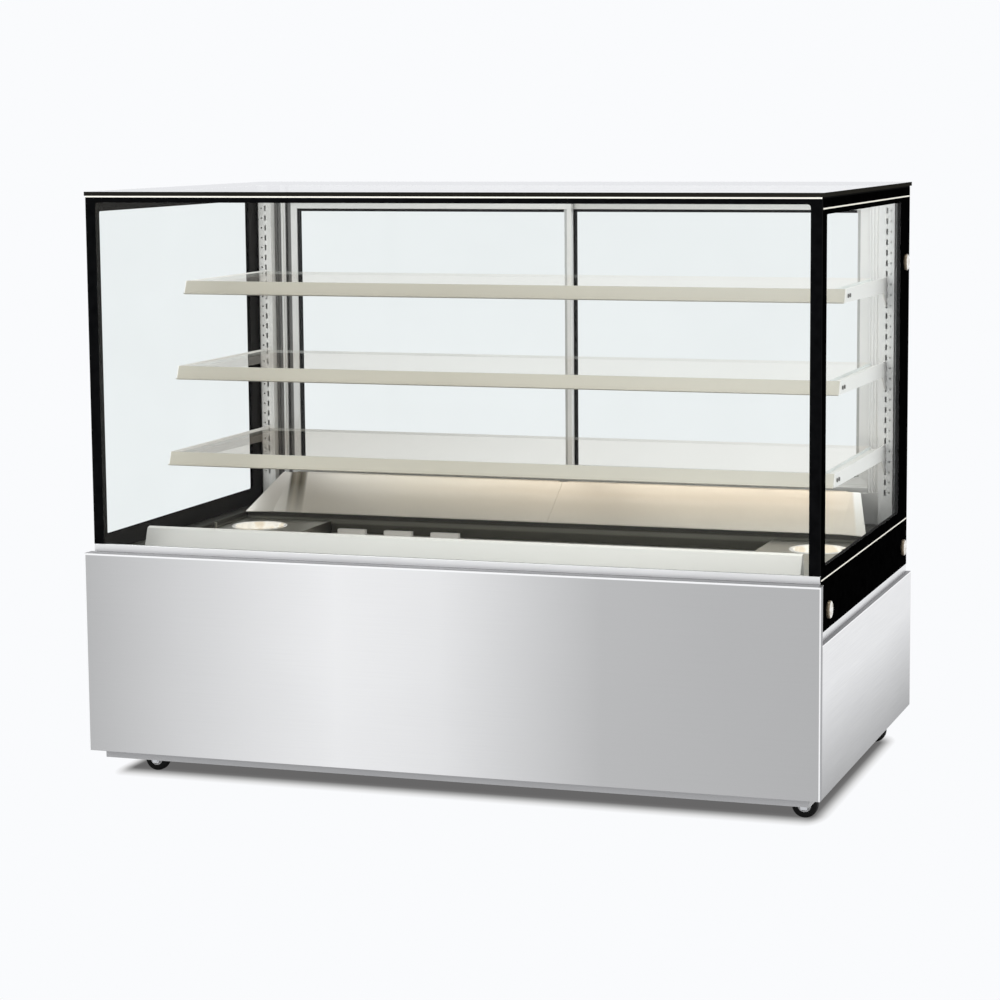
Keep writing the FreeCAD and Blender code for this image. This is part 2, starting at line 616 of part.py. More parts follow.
def rear_deflector_half(side, sign):
    """One half of the inclined back sheet, with the wing folded forward at its end."""
    low = Vector(sign * 0.3, DIMS["mirror_low_y"], DIMS["ledge"] + DIMS["gauge"])
    top = Vector(sign * 0.3, DIMS["mirror_top_y"], DIMS["mirror_top"])
    reach = Vector(sign * (DIMS["mirror_x"] - 0.3), 0, 0)
    fold = Vector(sign * 58, -16, 0)
    main = [low, low + reach, top + reach, top]
    wing = [low + reach, low + reach + fold, top + reach + fold * 0.35, top + reach]
    solids = []
    for corners in (main, wing):
        face = Part.Face(Part.makePolygon(corners + corners[:1]))
        normal = face.normalAt(0, 0)
        if normal.y < 0:
            normal = -normal
        solids.append(face.extrude(normal * DIMS["gauge"]))
    stiffener = Part.makeBox(DIMS["mirror_x"] - 20, 12, DIMS["gauge"])
    x = 10 if sign > 0 else -(DIMS["mirror_x"] - 10)
    stiffener.translate(Vector(x, DIMS["mirror_top_y"], DIMS["mirror_top"] - 1))
    return feature(f"{side}_rear_deflector",
                   solids[0].fuse([solids[1], stiffener]).removeSplitter())


# ---------------------------------------------------------------- shelves

def build_uprights():
    """Slotted channels that carry the shelf brackets."""
    for side, sign in SIDES:
        x_in, x_out = f"{sign} * upright_x", f"{sign} * (upright_x + upright_wide)"
        w_in = f"{sign} * (upright_x + gauge)"
        w_out = f"{sign} * (upright_x + upright_wide - gauge)"
        section = [(x_in, "upright_y"), (x_out, "upright_y"), (x_out, "frame_y"),
                   (w_out, "frame_y"), (w_out, "upright_y + gauge"), (w_in, "upright_y + gauge"),
                   (w_in, "frame_y"), (x_in, "frame_y")]
        channel = extrusion(f"{side}_channel", "XY_Plane", section, "ledge", "upright_top")
        tools = []
        y = ("upright_y - 5", "upright_y + gauge + 1")
        for i in range(28):
            middle = f"shelf_top - 15 + {7 - i} * slot_pitch"
            x = f"{sign} * slot_x"
            tools.append(block(f"{side}_slot_{i}", (f"{x} - slot_wide / 2", f"{x} + slot_wide / 2"),
                               y, (f"{middle} - slot_high / 2", f"{middle} + slot_high / 2")))
            tools.append(rod(f"{side}_pin_hole_{i}",
                             (f"{x} + {sign} * 9", "upright_y - 5", f"{middle}"), 2, 10, "Y"))
        keep(side + "_upright", cut(side + "_upright", channel, tools))


def build_shelves():
    screws = []
    for i, name in enumerate(SHELVES):
        level = f"(shelf_top - {i} * slots_per_shelf * slot_pitch)"
        front = f"(shelf_front - {i} * shelf_step)"
        keep(name + "_shelf", block(name + "_shelf", ("-shelf_x", "shelf_x"),
                                    (f"{front} + 3", "shelf_rear"),
                                    (f"{level} - shelf_gauge", level)))
        under = f"{level} - shelf_gauge"
        section = [(f"{front} + 1.5", level), (f"{front} - 0.5", level),
                   (f"{front} - rail_lean - 1", f"{level} - rail_high + 2"),
                   (f"{front} - rail_lean - 8", f"{level} - rail_high + 4"),
                   (f"{front} - rail_lean - 8.5", f"{level} - rail_high + 2.5"),
                   (f"{front} - rail_lean", f"{level} - rail_high"),
                   (f"{front} - 1.2", f"{under} - gauge"), (f"{front} + 15", f"{under} - gauge"),
                   (f"{front} + 15", under), (f"{front} - 0.4", under)]
        keep(name + "_rail", extrusion(name + "_rail", "YZ_Plane", section, "-rail_x", "rail_x"))
        arms = [shelf_bracket(f"{name}_{side}_bracket", sign, level, front)
                for side, sign in SIDES]
        keep(name + "_brackets", group(name + "_brackets", arms))
        for side, sign in SIDES:
            x = f"{sign} * (rail_x + arm_gauge)"
            for j, back in enumerate((16, 34)):
                tag = f"{name}_{side}_screw_{j}"
                start = x if sign > 0 else f"{x} - 2"
                screws.append(rod(tag, (start, f"{front} + {back}", f"{level} - 14"), 4, 2, "X"))
    keep("bracket_screws", group("bracket_screws", screws))


def shelf_bracket(name, sign, level, front):
    """A flat arm with a ledge for the glass, a gusset and two hooks in the upright."""
    arm = [(f"{front} + 1", level), ("upright_y", level), ("upright_y", f"{level} - 62"),
           ("upright_y - 9", f"{level} - 58"), ("upright_y - 40", f"{level} - 31"),
           (f"{front} - 9", f"{level} - 26")]
    x = mirrored(sign, "rail_x", "rail_x + arm_gauge")
    plate = extrusion(name + "_arm", "YZ_Plane", arm, *x)
    ledge_x = mirrored(sign, "shelf_x - 12", "rail_x")
    ledge = block(name + "_ledge", ledge_x, (f"{front} + 16", "shelf_rear"),
                  (f"{level} - shelf_gauge - gauge", f"{level} - shelf_gauge"))
    hooks = [block(f"{name}_hook_{j}", x, ("upright_y - 1", "upright_y + 6"),
                   (f"{level} - {middle} - 4.5", f"{level} - {middle} + 4.5"))
             for j, middle in enumerate((15, 37))]
    return fuse(name, [plate, ledge] + hooks)


# ---------------------------------------------------------------- sliding doors

def build_door_frame():
    x_out = "(width / 2 - glass_inset - glass_gauge)"
    y = ("frame_y", "frame_y + frame_deep")
    pieces = [block("sill", (f"-{x_out}", x_out), y, ("rear_top", "sill_top")),
              block("head", (f"-{x_out}", x_out), y, ("head_low", "height - lid_gauge"))]
    hollow_y = ("frame_y + 6", "frame_y + frame_deep - 3")
    hollows = [block("sill_hollow", (f"-({x_out} + 1)", f"{x_out} + 1"), hollow_y,
                     ("rear_top + 3", "sill_top - 4")),
               block("head_hollow", (f"-({x_out} + 1)", f"{x_out} + 1"), hollow_y,
                     ("head_low + 4", "height - lid_gauge - 3"))]
    ribs = (("frame_y + 1", "frame_y + 5"), ("front_track + 17.5", "rear_track - 1.5"),
            ("frame_y + 45.5", "frame_y + 49"))
    for i, rib in enumerate(ribs):
        pieces.append(block(f"sill_rib_{i}", ("-jamb_x", "jamb_x"), rib,
                            ("sill_top - 1", "sill_top + rib_high")))
        pieces.append(block(f"head_rib_{i}", ("-jamb_x", "jamb_x"), rib,
                            ("head_low - rib_high", "head_low + 1")))
    for side, sign in SIDES:
        x = mirrored(sign, "jamb_x", x_out)
        post = block(f"{side}_jamb_post", x, y, ("sill_top - 1", "head_low + 1"))
        grooves = [block(f"{side}_groove_{i}",
                         (f"{sign} * (jamb_x + {5 + 7 * i}) - 1.5",
                          f"{sign} * (jamb_x + {5 + 7 * i}) + 1.5"),
                         ("frame_y - 1", "frame_y + 3"), ("sill_top + 2", "head_low - 2"))
                   for i in range(3)]
        pieces.append(cut(f"{side}_jamb", post, grooves))
        hollows.append(block(f"{side}_jamb_hollow",
                             mirrored(sign, "jamb_x + 3", f"{x_out} - 3"), hollow_y,
                             ("sill_top - 5", "head_low + 5")))
    keep("door_frame", cut("door_frame", fuse("door_frame_solid", pieces), hollows))


def build_door(side, sign, track):
    """A framed sliding door: aluminium frame, black seal and a glass pane."""
    inner = f"{sign} * (-door_overlap)"
    outer = f"{sign} * door_edge"
    x = (outer, inner) if sign < 0 else (inner, outer)
    y = (track, f"{track} + door_gauge")
    z = ("door_low", "door_top")
    whole = block(f"{side}_door_block", x, y, z)
    left_stile, right_stile = ("stile", "meeting_stile")[::-sign]
    hole_x = (f"{x[0]} + {left_stile}", f"{x[1]} - {right_stile}")
    hole_z = (f"{z[0]} + stile + 4", f"{z[1]} - stile")
    window = block(f"{side}_door_window", hole_x, (f"{y[0]} - 1", f"{y[1]} + 1"), hole_z)
    pull_x = (f"{outer} + {-sign * 12} - 5", f"{outer} + {-sign * 12} + 5")
    pull = block(f"{side}_door_pull", pull_x, (f"{y[1]} - 7", f"{y[1]} + 1"), ("770", "910"))
    keep(side + "_door", cut(side + "_door", whole, [window, pull]))

    middle = f"{track} + door_gauge / 2"
    pane_y = (f"{middle} - pane / 2", f"{middle} + pane / 2")
    pane_x = (f"{hole_x[0]} + 2", f"{hole_x[1]} - 2")
    pane_z = (f"{hole_z[0]} + 2", f"{hole_z[1]} - 2")
    keep(side + "_door_glass", block(f"{side}_door_glass", pane_x, pane_y, pane_z))
    seal_y = (f"{middle} - seal_gauge / 2", f"{middle} + seal_gauge / 2")
    ring = cut(f"{side}_seal_ring", block(f"{side}_seal_block", hole_x, seal_y, hole_z),
               [block(f"{side}_seal_hole", (f"{hole_x[0]} + seal", f"{hole_x[1]} - seal"),
                      (f"{seal_y[0]} - 1", f"{seal_y[1]} + 1"),
                      (f"{hole_z[0]} + seal", f"{hole_z[1]} - seal"))])
    groove = block(f"{side}_seal_groove", pane_x, pane_y, pane_z)
    keep(side + "_door_seal", cut(side + "_door_seal", ring, [groove]))


# ---------------------------------------------------------------- lamp and controls

def build_light_bar():
    front = "(-depth / 2 + glass_setback + glass_gauge)"
    top = "height - lid_gauge"
    section = [(f"{front} + 1", top), (f"{front} + 1", f"{top} - 10"), (f"{front} + 4", f"{top} - 13"),
               (f"{front} + 16", f"{top} - 13"), (f"{front} + 22", f"{top} - 7"),
               (f"{front} + 22", top)]
    keep("light_bar", extrusion("light_bar", "YZ_Plane", section, "-700", "700"))


def build_controls():
    rear = "(depth / 2 - rear_recess)"
    body = block("controller_body", ("control_x - 35", "control_x + 35"),
                 (f"{rear} - 32", rear), ("control_z - 14", "control_z + 14"))
    bezel = block("controller_bezel", ("control_x - 39", "control_x + 39"),
                  (rear, f"{rear} + 4"), ("control_z - 18", "control_z + 18"))
    glass = block("controller_window", ("control_x - 32", "control_x + 12"),
                  (f"{rear} + 3", f"{rear} + 5"), ("control_z - 11", "control_z + 11"))
    keys = [block(f"controller_key_{i}", (f"control_x + {17 + 10 * (i % 2)}",
                                          f"control_x + {25 + 10 * (i % 2)}"),
                  (f"{rear} + 3.2", f"{rear} + 5"),
                  (f"control_z + {-9 + 10 * (i // 2)}", f"control_z + {-1 + 10 * (i // 2)}"))
            for i in range(4)]
    keep("controller", cut("controller", fuse("controller_solid", [body, bezel]), [glass] + keys))

    frames = []
    for i, name in enumerate(("power", "light")):
        x = f"(switch_x - {i} * switch_pitch)"
        frames.append(switch_frame(name + "_switch_frame", x, rear))
        keep(name + "_rocker", rocker(name + "_rocker", x, rear))
    keep("switch_frames", group("switch_frames", frames))

    gland = [rod("gland_thread", ("gland_x", f"{rear} - 12", "gland_z"), 10, 14, "Y"),
             hexagon("gland_locknut", ("gland_x", f"{rear} - gauge - 5", "gland_z"), 14, 5, "Y"),
             hexagon("gland_body", ("gland_x", rear, "gland_z"), 14, 6, "Y"),
             rod("gland_nut", ("gland_x", f"{rear} + 6", "gland_z"), 11.5, 8, "Y"),
             rod("gland_nose", ("gland_x", f"{rear} + 14", "gland_z"), 9, 4, "Y")]
    bore = rod("gland_bore_tool", ("gland_x", f"{rear} - 20", "gland_z"), "gland_bore", 50, "Y")
    keep("cable_gland", cut("cable_gland", fuse("gland_solid", gland), [bore]))


def switch_frame(name, x, rear):
    shell = [block(name + "_body", (f"{x} - 9", f"{x} + 9"), (f"{rear} - 16", rear),
                   ("control_z - 15.5", "control_z + 15.5")),
             block(name + "_flange", (f"{x} - 11", f"{x} + 11"), (rear, f"{rear} + 2"),
                   ("control_z - 18", "control_z + 18"))]
    room = block(name + "_room", (f"{x} - rocker_wide / 2 - 0.5", f"{x} + rocker_wide / 2 + 0.5"),
                 (f"{rear} - 12", f"{rear} + 3"), ("control_z - 13.5", "control_z + 13.5"))
    pivot = rod(name + "_pivot", (f"{x} - 8.2", f"{rear} - 5", "control_z"),
                "1.5 + running_gap", 16.4, "X")
    return cut(name, fuse(name + "_solid", shell), [room, pivot])


def rocker(name, x, rear):
    """A rocker resting in its off position, on two stub pivots."""
    outline = [("-4", "-rocker_half + 1"), ("6", "-rocker_half"), ("4.5", "0"),
               ("6", "rocker_half"), ("-4", "rocker_half - 1")]
    paddle = extrusion(name + "_paddle", "YZ_Plane", outline, "-rocker_wide / 2",
                       "rocker_wide / 2")
    stubs = rod(name + "_stubs", ("-8", "0", "0"), 1.5, 16, "X")
    item = fuse(name, [paddle, stubs])
    return put(item, (x, f"{rear} - 5", "control_z"),
               Rotation(Vector(1, 0, 0), DIMS["rocker_tilt"]))


# ---------------------------------------------------------------- checks and export

def failures():
    """Every failed object, and every sub-part whose shape is missing or not valid."""
    bad = [o.Name for o in doc.Objects if {"Invalid", "Error"} & set(o.State)]
    for label, item in parts.items():
        if item.Shape.isNull() or not item.Shape.isValid() or item.Shape.Volume <= 0:
            bad.append(label)
    return bad


fill_sheet()
build_castors()
build_base()
build_panels()
build_trims()
build_glass()
build_well()
build_deflectors()
build_uprights()
build_shelves()
build_door_frame()
build_door("left", -1, "front_track")
build_door("right", 1, "rear_track")
build_light_bar()
build_controls()
doc.recompute()

problems = failures()
if problems:
    raise SystemExit("failed: " + ", ".join(problems))
os.makedirs("parts", exist_ok=True)
for label, item in parts.items():
    item.Shape.exportStep(f"parts/{label}.step")
print(len(parts), "sub-parts written")
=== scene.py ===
import math

import bmesh
import bpy
from mathutils import Matrix, Vector


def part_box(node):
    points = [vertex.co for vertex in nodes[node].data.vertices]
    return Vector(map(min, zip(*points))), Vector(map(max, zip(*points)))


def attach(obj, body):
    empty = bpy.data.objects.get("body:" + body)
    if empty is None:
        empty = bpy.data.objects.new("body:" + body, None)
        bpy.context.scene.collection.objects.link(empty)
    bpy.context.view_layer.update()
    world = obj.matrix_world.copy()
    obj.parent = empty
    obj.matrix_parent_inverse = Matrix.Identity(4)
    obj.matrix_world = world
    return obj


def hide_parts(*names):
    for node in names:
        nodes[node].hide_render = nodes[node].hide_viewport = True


# Looks for the hot food display case. Metres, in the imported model's own frame.
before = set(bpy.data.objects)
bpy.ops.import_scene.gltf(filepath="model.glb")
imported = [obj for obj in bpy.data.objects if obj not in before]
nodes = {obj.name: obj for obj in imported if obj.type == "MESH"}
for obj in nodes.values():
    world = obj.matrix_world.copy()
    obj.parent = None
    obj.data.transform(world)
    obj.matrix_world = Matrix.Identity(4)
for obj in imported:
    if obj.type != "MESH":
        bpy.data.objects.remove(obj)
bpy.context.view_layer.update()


# ---------------------------------------------------------------- node helpers

class Shader:
    """Builds one node material. Every texture uses object space, which is the row frame."""

    def __init__(self, name):
        self.material = bpy.data.materials.new(name)
        self.material.use_nodes = True
        self.tree = self.material.node_tree
        self.tree.nodes.clear()
        self.output = self.node("OutputMaterial")
        self.place = self.node("TexCoord").outputs["Object"]

    def node(self, kind, **settings):
        item = self.tree.nodes.new("ShaderNode" + kind)
        for key, value in settings.items():
            setattr(item, key, value)
        return item

    def feed(self, target, value):
        if isinstance(value, bpy.types.NodeSocket):
            self.tree.links.new(value, target)
        else:
            target.default_value = value

    def math(self, operation, a, b=0.0, clamp=False):
        item = self.node("Math", operation=operation, use_clamp=clamp)
        self.feed(item.inputs[0], a)
        self.feed(item.inputs[1], b)
        return item.outputs[0]

    def noise(self, scale, detail=3.0, rough=0.5):
        """Noise with its own number of features per metre along X, Y and Z."""
        stretch = self.node("Mapping")
        self.feed(stretch.inputs["Vector"], self.place)
        stretch.inputs["Scale"].default_value = scale
        item = self.node("TexNoise")
        self.feed(item.inputs["Vector"], stretch.outputs["Vector"])
        item.inputs["Scale"].default_value = 1.0
        item.inputs["Detail"].default_value = detail
        item.inputs["Roughness"].default_value = rough
        return item.outputs["Fac"]

    def spread(self, value, low, high, start=0.3, end=0.7):
        """Maps start to end onto low to high, and holds the value beyond them."""
        item = self.node("MapRange")
        self.feed(item.inputs["Value"], value)
        for key, number in (("From Min", start), ("From Max", end), ("To Min", low), ("To Max", high)):
            item.inputs[key].default_value = number
        return item.outputs["Result"]

    def share(self, value, start, end):
        """0 at start and 1 at end."""
        return self.spread(value, 0.0, 1.0, start, end)

    def ramp(self, value, stops):
        item = self.node("ValToRGB")
        self.feed(item.inputs["Fac"], value)
        while len(item.color_ramp.elements) < len(stops):
            item.color_ramp.elements.new(0.5)
        for element, (position, colour) in zip(item.color_ramp.elements, stops):
            element.position = position
            element.color = (*colour, 1.0)
        return item.outputs["Color"]

    def blend(self, share, a, b):
        item = self.node("Mix", data_type="RGBA")
        self.feed(item.inputs[0], share)
        self.feed(item.inputs[6], a if isinstance(a, bpy.types.NodeSocket) else (*a, 1.0))
        self.feed(item.inputs[7], b if isinstance(b, bpy.types.NodeSocket) else (*b, 1.0))
        return item.outputs[2]

    def bump(self, height, depth, strength=1.0):
        item = self.node("Bump")
        item.inputs["Distance"].default_value = depth
        item.inputs["Strength"].default_value = strength
        self.feed(item.inputs["Height"], height)
        return item.outputs["Normal"]

    def principled(self, **inputs):
        item = self.node("BsdfPrincipled")
        for key, value in inputs.items():
            name = key.replace("_", " ").replace("ior level", "IOR Level")
            socket = item.inputs["IOR" if name == "ior" else name]
            if isinstance(value, tuple) and len(value) == 3:
                value = (*value, 1.0)
            self.feed(socket, value)
        return item

    def axis(self, name):
        """One coordinate of the shaded point, in the row frame."""
        place = self.node("SeparateXYZ")
        self.feed(place.inputs[0], self.place)
        return place.outputs[name]

    def outward(self, name):
        """One part of the direction that the surface faces."""
        normal = self.node("SeparateXYZ")
        self.feed(normal.inputs[0], self.node("NewGeometry").outputs["Normal"])
        return normal.outputs[name]

    def facing(self, name, limit=0.6):
        """1 on faces that look along one axis, either way, and 0 on the rest."""
        return self.math("GREATER_THAN", self.math("ABSOLUTE", self.outward(name)), limit)

    def grained(self, colour, rough, anisotropy, normal):
        """Brushed metal with stretched highlights."""
        tangent = self.node("Tangent", direction_type="RADIAL", axis="Z")
        shader = self.principled(Base_Color=colour, Metallic=1.0, Roughness=rough,
                                 Anisotropic=anisotropy, Anisotropic_Rotation=0.25,
                                 Tangent=tangent.outputs["Tangent"], Normal=normal)
        return self.finish(shader.outputs["BSDF"])

    def mixed(self, share, a, b):
        """A mix of two shaders."""
        item = self.node("MixShader")
        for socket, value in zip(item.inputs, (share, a, b)):
            self.feed(socket, value)
        return item.outputs[0]

    def finish(self, shader):
        self.tree.links.new(shader, self.output.inputs["Surface"])
        return self.material


# ---------------------------------------------------------------- materials

GRAIN = {"X": (5.0, 420.0, 420.0), "Y": (420.0, 5.0, 420.0), "Z": (420.0, 420.0, 5.0)}


def brushed(name, light, dark, rough, grain="X"):
    """Brushed metal: fine grain along one axis, soft handling marks and a fine scratch relief."""
    s = Shader(name)
    lines = s.noise(GRAIN[grain], 5.0, 0.65)
    marks = s.noise((3.1, 2.7, 3.6), 4.0, 0.55)
    tone = s.math("ADD", s.math("MULTIPLY", lines, 0.65), s.math("MULTIPLY", marks, 0.35))
    colour = s.ramp(tone, [(0.3, dark), (0.7, light)])
    worn = s.math("ADD", s.spread(lines, rough - 0.05, rough + 0.06), s.spread(marks, -0.03, 0.04))
    return s.grained(colour, worn, 0.5, s.bump(lines, 0.00006))


def front_steel(name):
    """The long front sheet: brushed along X, with a painted band of reflected light across it, a painted
    highlight on its folded rim and painted shade on its folded returns.
    """
    s = Shader(name)
    lines = s.noise(GRAIN["X"], 5.0, 0.65)
    marks = s.noise((1.6, 1.0, 2.2), 3.0, 0.5)
    reach = s.share(s.axis("X"), -0.75, 0.75)
    # Painted reflected light: a broad bright band left of the middle, darker towards both ends.
    roll = s.ramp(reach, [(0.0, (0.48, 0.48, 0.48)), (0.14, (0.65, 0.65, 0.65)),
                          (0.36, (0.86, 0.86, 0.86)), (0.5, (0.80, 0.80, 0.80)),
                          (0.72, (0.51, 0.51, 0.51)), (1.0, (0.47, 0.47, 0.47))])
    tone = s.math("ADD", s.spread(lines, 0.0, 0.3), s.spread(marks, 0.0, 0.7), clamp=True)
    sheet = s.blend(s.spread(tone, 0.0, 0.12, 0.0, 1.0), roll, (0.30, 0.30, 0.31))
    # Painted highlight along the sheet's folded edges.
    rim = s.math("MAXIMUM", s.share(s.math("ABSOLUTE", s.axis("X")), 0.7468, 0.7474),
                 s.share(s.axis("Z"), 0.4580, 0.4586))
    # Painted shade: faces that look along X or Z, the folded returns, are darkened.
    painted_fold_shade = s.math("MAXIMUM", s.facing("X"), s.facing("Z"))
    colour = s.blend(painted_fold_shade, s.blend(rim, sheet, (0.95, 0.95, 0.95)), (0.26, 0.26, 0.27))
    return s.grained(colour, s.spread(lines, 0.32, 0.40), 0.6, s.bump(lines, 0.00003))


def side_steel(name):
    """The end sheets: brushed along Y, with painted shade darkening them towards the floor, a painted
    highlight along the top border and painted shade on the faces that look up or down.
    """
    s = Shader(name)
    lines = s.noise(GRAIN["Y"], 5.0, 0.65)
    marks = s.noise((2.0, 2.0, 2.0), 2.0, 0.5)
    # Painted shade: the sheet darkens towards the floor, a little unevenly.
    height = s.math("ADD", s.spread(s.axis("Z"), 0.0, 0.94, 0.06, 0.35), s.spread(marks, 0.0, 0.06))
    painted_floor_shade = s.ramp(height, [(0.0, (0.26, 0.26, 0.26)), (0.35, (0.53, 0.53, 0.53)),
                           (0.7, (0.80, 0.80, 0.80)), (1.0, (0.84, 0.84, 0.84))])
    # Painted highlight: a light line along the sheet's top edge.
    border = s.share(s.axis("Z"), 0.3475, 0.3481)
    face = s.blend(border, s.blend(s.spread(lines, 0.0, 0.14), painted_floor_shade, (0.40, 0.40, 0.41)),
                   (0.96, 0.96, 0.96))
    # Painted shade on the faces that look up or down.
    colour = s.blend(s.facing("Z"), face, (0.20, 0.20, 0.21))
    return s.grained(colour, s.spread(lines, 0.32, 0.42), 0.5, s.bump(lines, 0.00005))


def satin(name, light, dark, rough, metallic=1.0):
    """Anodised or powder-satin metal: even, with a very fine tooth."""
    s = Shader(name)
    tooth = s.noise((900.0, 900.0, 900.0), 2.0, 0.6)
    cloud = s.noise((4.0, 5.0, 4.0), 3.0, 0.5)
    tone = s.math("ADD", s.spread(tooth, 0.0, 0.35), s.spread(cloud, 0.0, 0.65))
    colour = s.ramp(tone, [(0.0, dark), (1.0, light)])
    shader = s.principled(Base_Color=colour, Metallic=metallic,
                          Roughness=s.spread(tooth, rough - 0.03, rough + 0.05),
                          Normal=s.bump(tooth, 0.00003))
    return s.finish(shader.outputs["BSDF"])


def plastic(name, light, dark, rough, depth=0.00008, scale=700.0, specular=0.5):
    """Moulded plastic or rubber with a fine grain."""
    s = Shader(name)
    grain = s.noise((scale, scale, scale), 3.0, 0.6)
    cloud = s.noise((18.0, 18.0, 18.0), 3.0, 0.5)
    colour = s.ramp(s.math("ADD", s.spread(grain, 0.0, 0.5), s.spread(cloud, 0.0, 0.5)),
                    [(0.0, dark), (1.0, light)])
    shader = s.principled(Base_Color=colour, Roughness=s.spread(grain, rough - 0.06, rough + 0.08),
                          Specular_IOR_Level=specular, Normal=s.bump(grain, depth))
    return s.finish(shader.outputs["BSDF"])


def pane(name, face, tint, edge, mirror=1.0, shine=(1.0, 1.0, 1.0), left_painted_shade=None, right_painted_sheen=None):
    """A clear sheet: see-through on its two faces, which look along one axis, and tinted on its edges.

    Its left-hand tint is painted shade, which makes it duller towards its left-hand end, and its right-hand
    mirror strength is a painted sheen, which changes how much it mirrors towards its right-hand end. Only
    its outer faces mirror, so that no light is trapped."""
    s = Shader(name)
    film = s.noise((6.0, 6.0, 6.0), 4.0, 0.6)
    reach = s.share(s.axis("X"), -0.55, 0.55)
    clear = s.node("BsdfTransparent")
    # Painted shade: with a left-hand tint, the sheet grows duller towards its left-hand end.
    body = s.blend(reach, left_painted_shade or tint, tint)
    s.feed(clear.inputs["Color"], s.blend(s.spread(film, 0.0, 0.008), body, (0.0, 0.0, 0.0)))
    gloss = s.node("BsdfGlossy")
    s.feed(gloss.inputs["Color"], (*shine, 1.0))
    s.feed(gloss.inputs["Roughness"], s.spread(film, 0.01, 0.035))
    fresnel = s.node("Fresnel")
    fresnel.inputs["IOR"].default_value = 1.45
    # Painted sheen: the right-hand mirror strength makes it mirror more towards its right-hand end.
    strength = s.spread(reach, mirror, right_painted_sheen or mirror, 0.0, 1.0)
    outside = s.math("SUBTRACT", 1.0, s.node("NewGeometry").outputs["Backfacing"])
    mirrored = s.math("MULTIPLY", s.math("MULTIPLY", fresnel.outputs[0], strength), outside)
    sheet = s.mixed(mirrored, clear.outputs[0], gloss.outputs[0])
    worn_edge = s.blend(s.spread(film, 0.0, 1.0), edge, tuple(c * 0.75 for c in edge))
    rim = s.principled(Base_Color=worn_edge, Roughness=s.spread(film, 0.2, 0.3), Specular_IOR_Level=0.0)
    return s.finish(s.mixed(s.facing(face), rim.outputs["BSDF"], sheet))


def enamel(name, colour):
    """Fired black print: nearly flat, with faint screen-print unevenness."""
    s = Shader(name)
    film = s.noise((60.0, 60.0, 60.0), 4.0, 0.6)
    thin = tuple(c * 1.6 + 0.001 for c in colour)
    shader = s.principled(Base_Color=s.blend(s.spread(film, 0.0, 1.0), colour, thin),
                          Roughness=s.spread(film, 0.28, 0.4), Specular_IOR_Level=0.0)
    return s.finish(shader.outputs["BSDF"])


def lid_line(name):
    """The strip under the lid: cream where it faces the front, black at the two sides, with a painted glow
    of light on it.
    """
    s = Shader(name)
    film = s.noise((60.0, 60.0, 60.0), 4.0, 0.6)
    cream = s.blend(s.spread(film, 0.0, 1.0), (0.95, 0.93, 0.85), (0.90, 0.88, 0.80))
    colour = s.blend(s.facing("X"), cream, (0.004, 0.004, 0.004))
    # Its emission is painted light: the strip is no lamp.
    shader = s.principled(Base_Color=colour, Roughness=s.spread(film, 0.4, 0.5),
                          Specular_IOR_Level=0.0, Emission_Color=colour, Emission_Strength=0.45)
    return s.finish(shader.outputs["BSDF"])


def rear_mirror(name):
    """The tilted steel behind the well: warm, with a painted reflection along it (pale end wings and a dark
    bent band) and painted light paling it towards its lower edge.
    """
    s = Shader(name)
    lines = s.noise(GRAIN["X"], 4.0, 0.6)
    marks = s.noise((2.2, 2.0, 3.0), 2.0, 0.5)
    low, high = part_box("rear_deflector")
    drop = s.math("SUBTRACT", high.z, s.axis("Z"))
    reach = s.math("SUBTRACT", s.axis("X"), s.math("MULTIPLY", drop, 0.45))
    # Painted reflection along the sheet: pale end wings, a dark bent band and a warm fall-off.
    along = s.ramp(s.share(reach, -0.70, 0.70),
                   [(0.0, (0.97, 0.93, 0.89)), (0.040, (0.97, 0.93, 0.89)), (0.043, (0.16, 0.14, 0.11)),
                    (0.052, (0.46, 0.41, 0.33)), (0.058, (0.13, 0.11, 0.08)), (0.066, (0.30, 0.27, 0.21)),
                    (0.070, (0.92, 0.87, 0.80)), (0.25, (0.93, 0.84, 0.71)), (0.45, (0.87, 0.74, 0.59)),
                    (0.90, (0.80, 0.67, 0.53)), (0.958, (0.83, 0.73, 0.61)), (0.96, (0.97, 0.94, 0.90))])
    colour = s.blend(s.spread(marks, 0.0, 0.12), along, (0.70, 0.58, 0.44))
    # Painted light: the colour grows paler towards the lower edge.
    lifted = s.blend(s.spread(drop, 0.0, 0.75, 0.02, high.z - low.z), colour, (1.0, 0.96, 0.88))
    shader = s.principled(Base_Color=lifted, Metallic=0.75, Roughness=s.spread(lines, 0.36, 0.46),
                          Normal=s.bump(lines, 0.00002))
    return s.finish(shader.outputs["BSDF"])


def tub_steel(name):
    """The well's own sheet: dark and a little olive, with a painted highlight along a line below its ledge.
    """
    s = Shader(name)
    lines = s.noise(GRAIN["X"], 4.0, 0.6)
    # Painted highlight: a paler band a few millimetres high below the ledge.
    painted_ledge_highlight = s.ramp(s.share(s.axis("Z"), 0.40, 0.46),
                  [(0.0, (0.062, 0.060, 0.046)), (0.55, (0.080, 0.078, 0.062)),
                   (0.62, (0.20, 0.195, 0.165)), (0.72, (0.20, 0.195, 0.165)),
                   (0.78, (0.060, 0.058, 0.048)), (1.0, (0.060, 0.058, 0.048))])
    shader = s.principled(Base_Color=s.blend(s.spread(lines, 0.0, 0.2), painted_ledge_highlight, (0.05, 0.05, 0.045)),
                          Metallic=0.3, Roughness=s.spread(lines, 0.45, 0.55),
                          Specular_IOR_Level=0.2, Normal=s.bump(lines, 0.00003))
    return s.finish(shader.outputs["BSDF"])


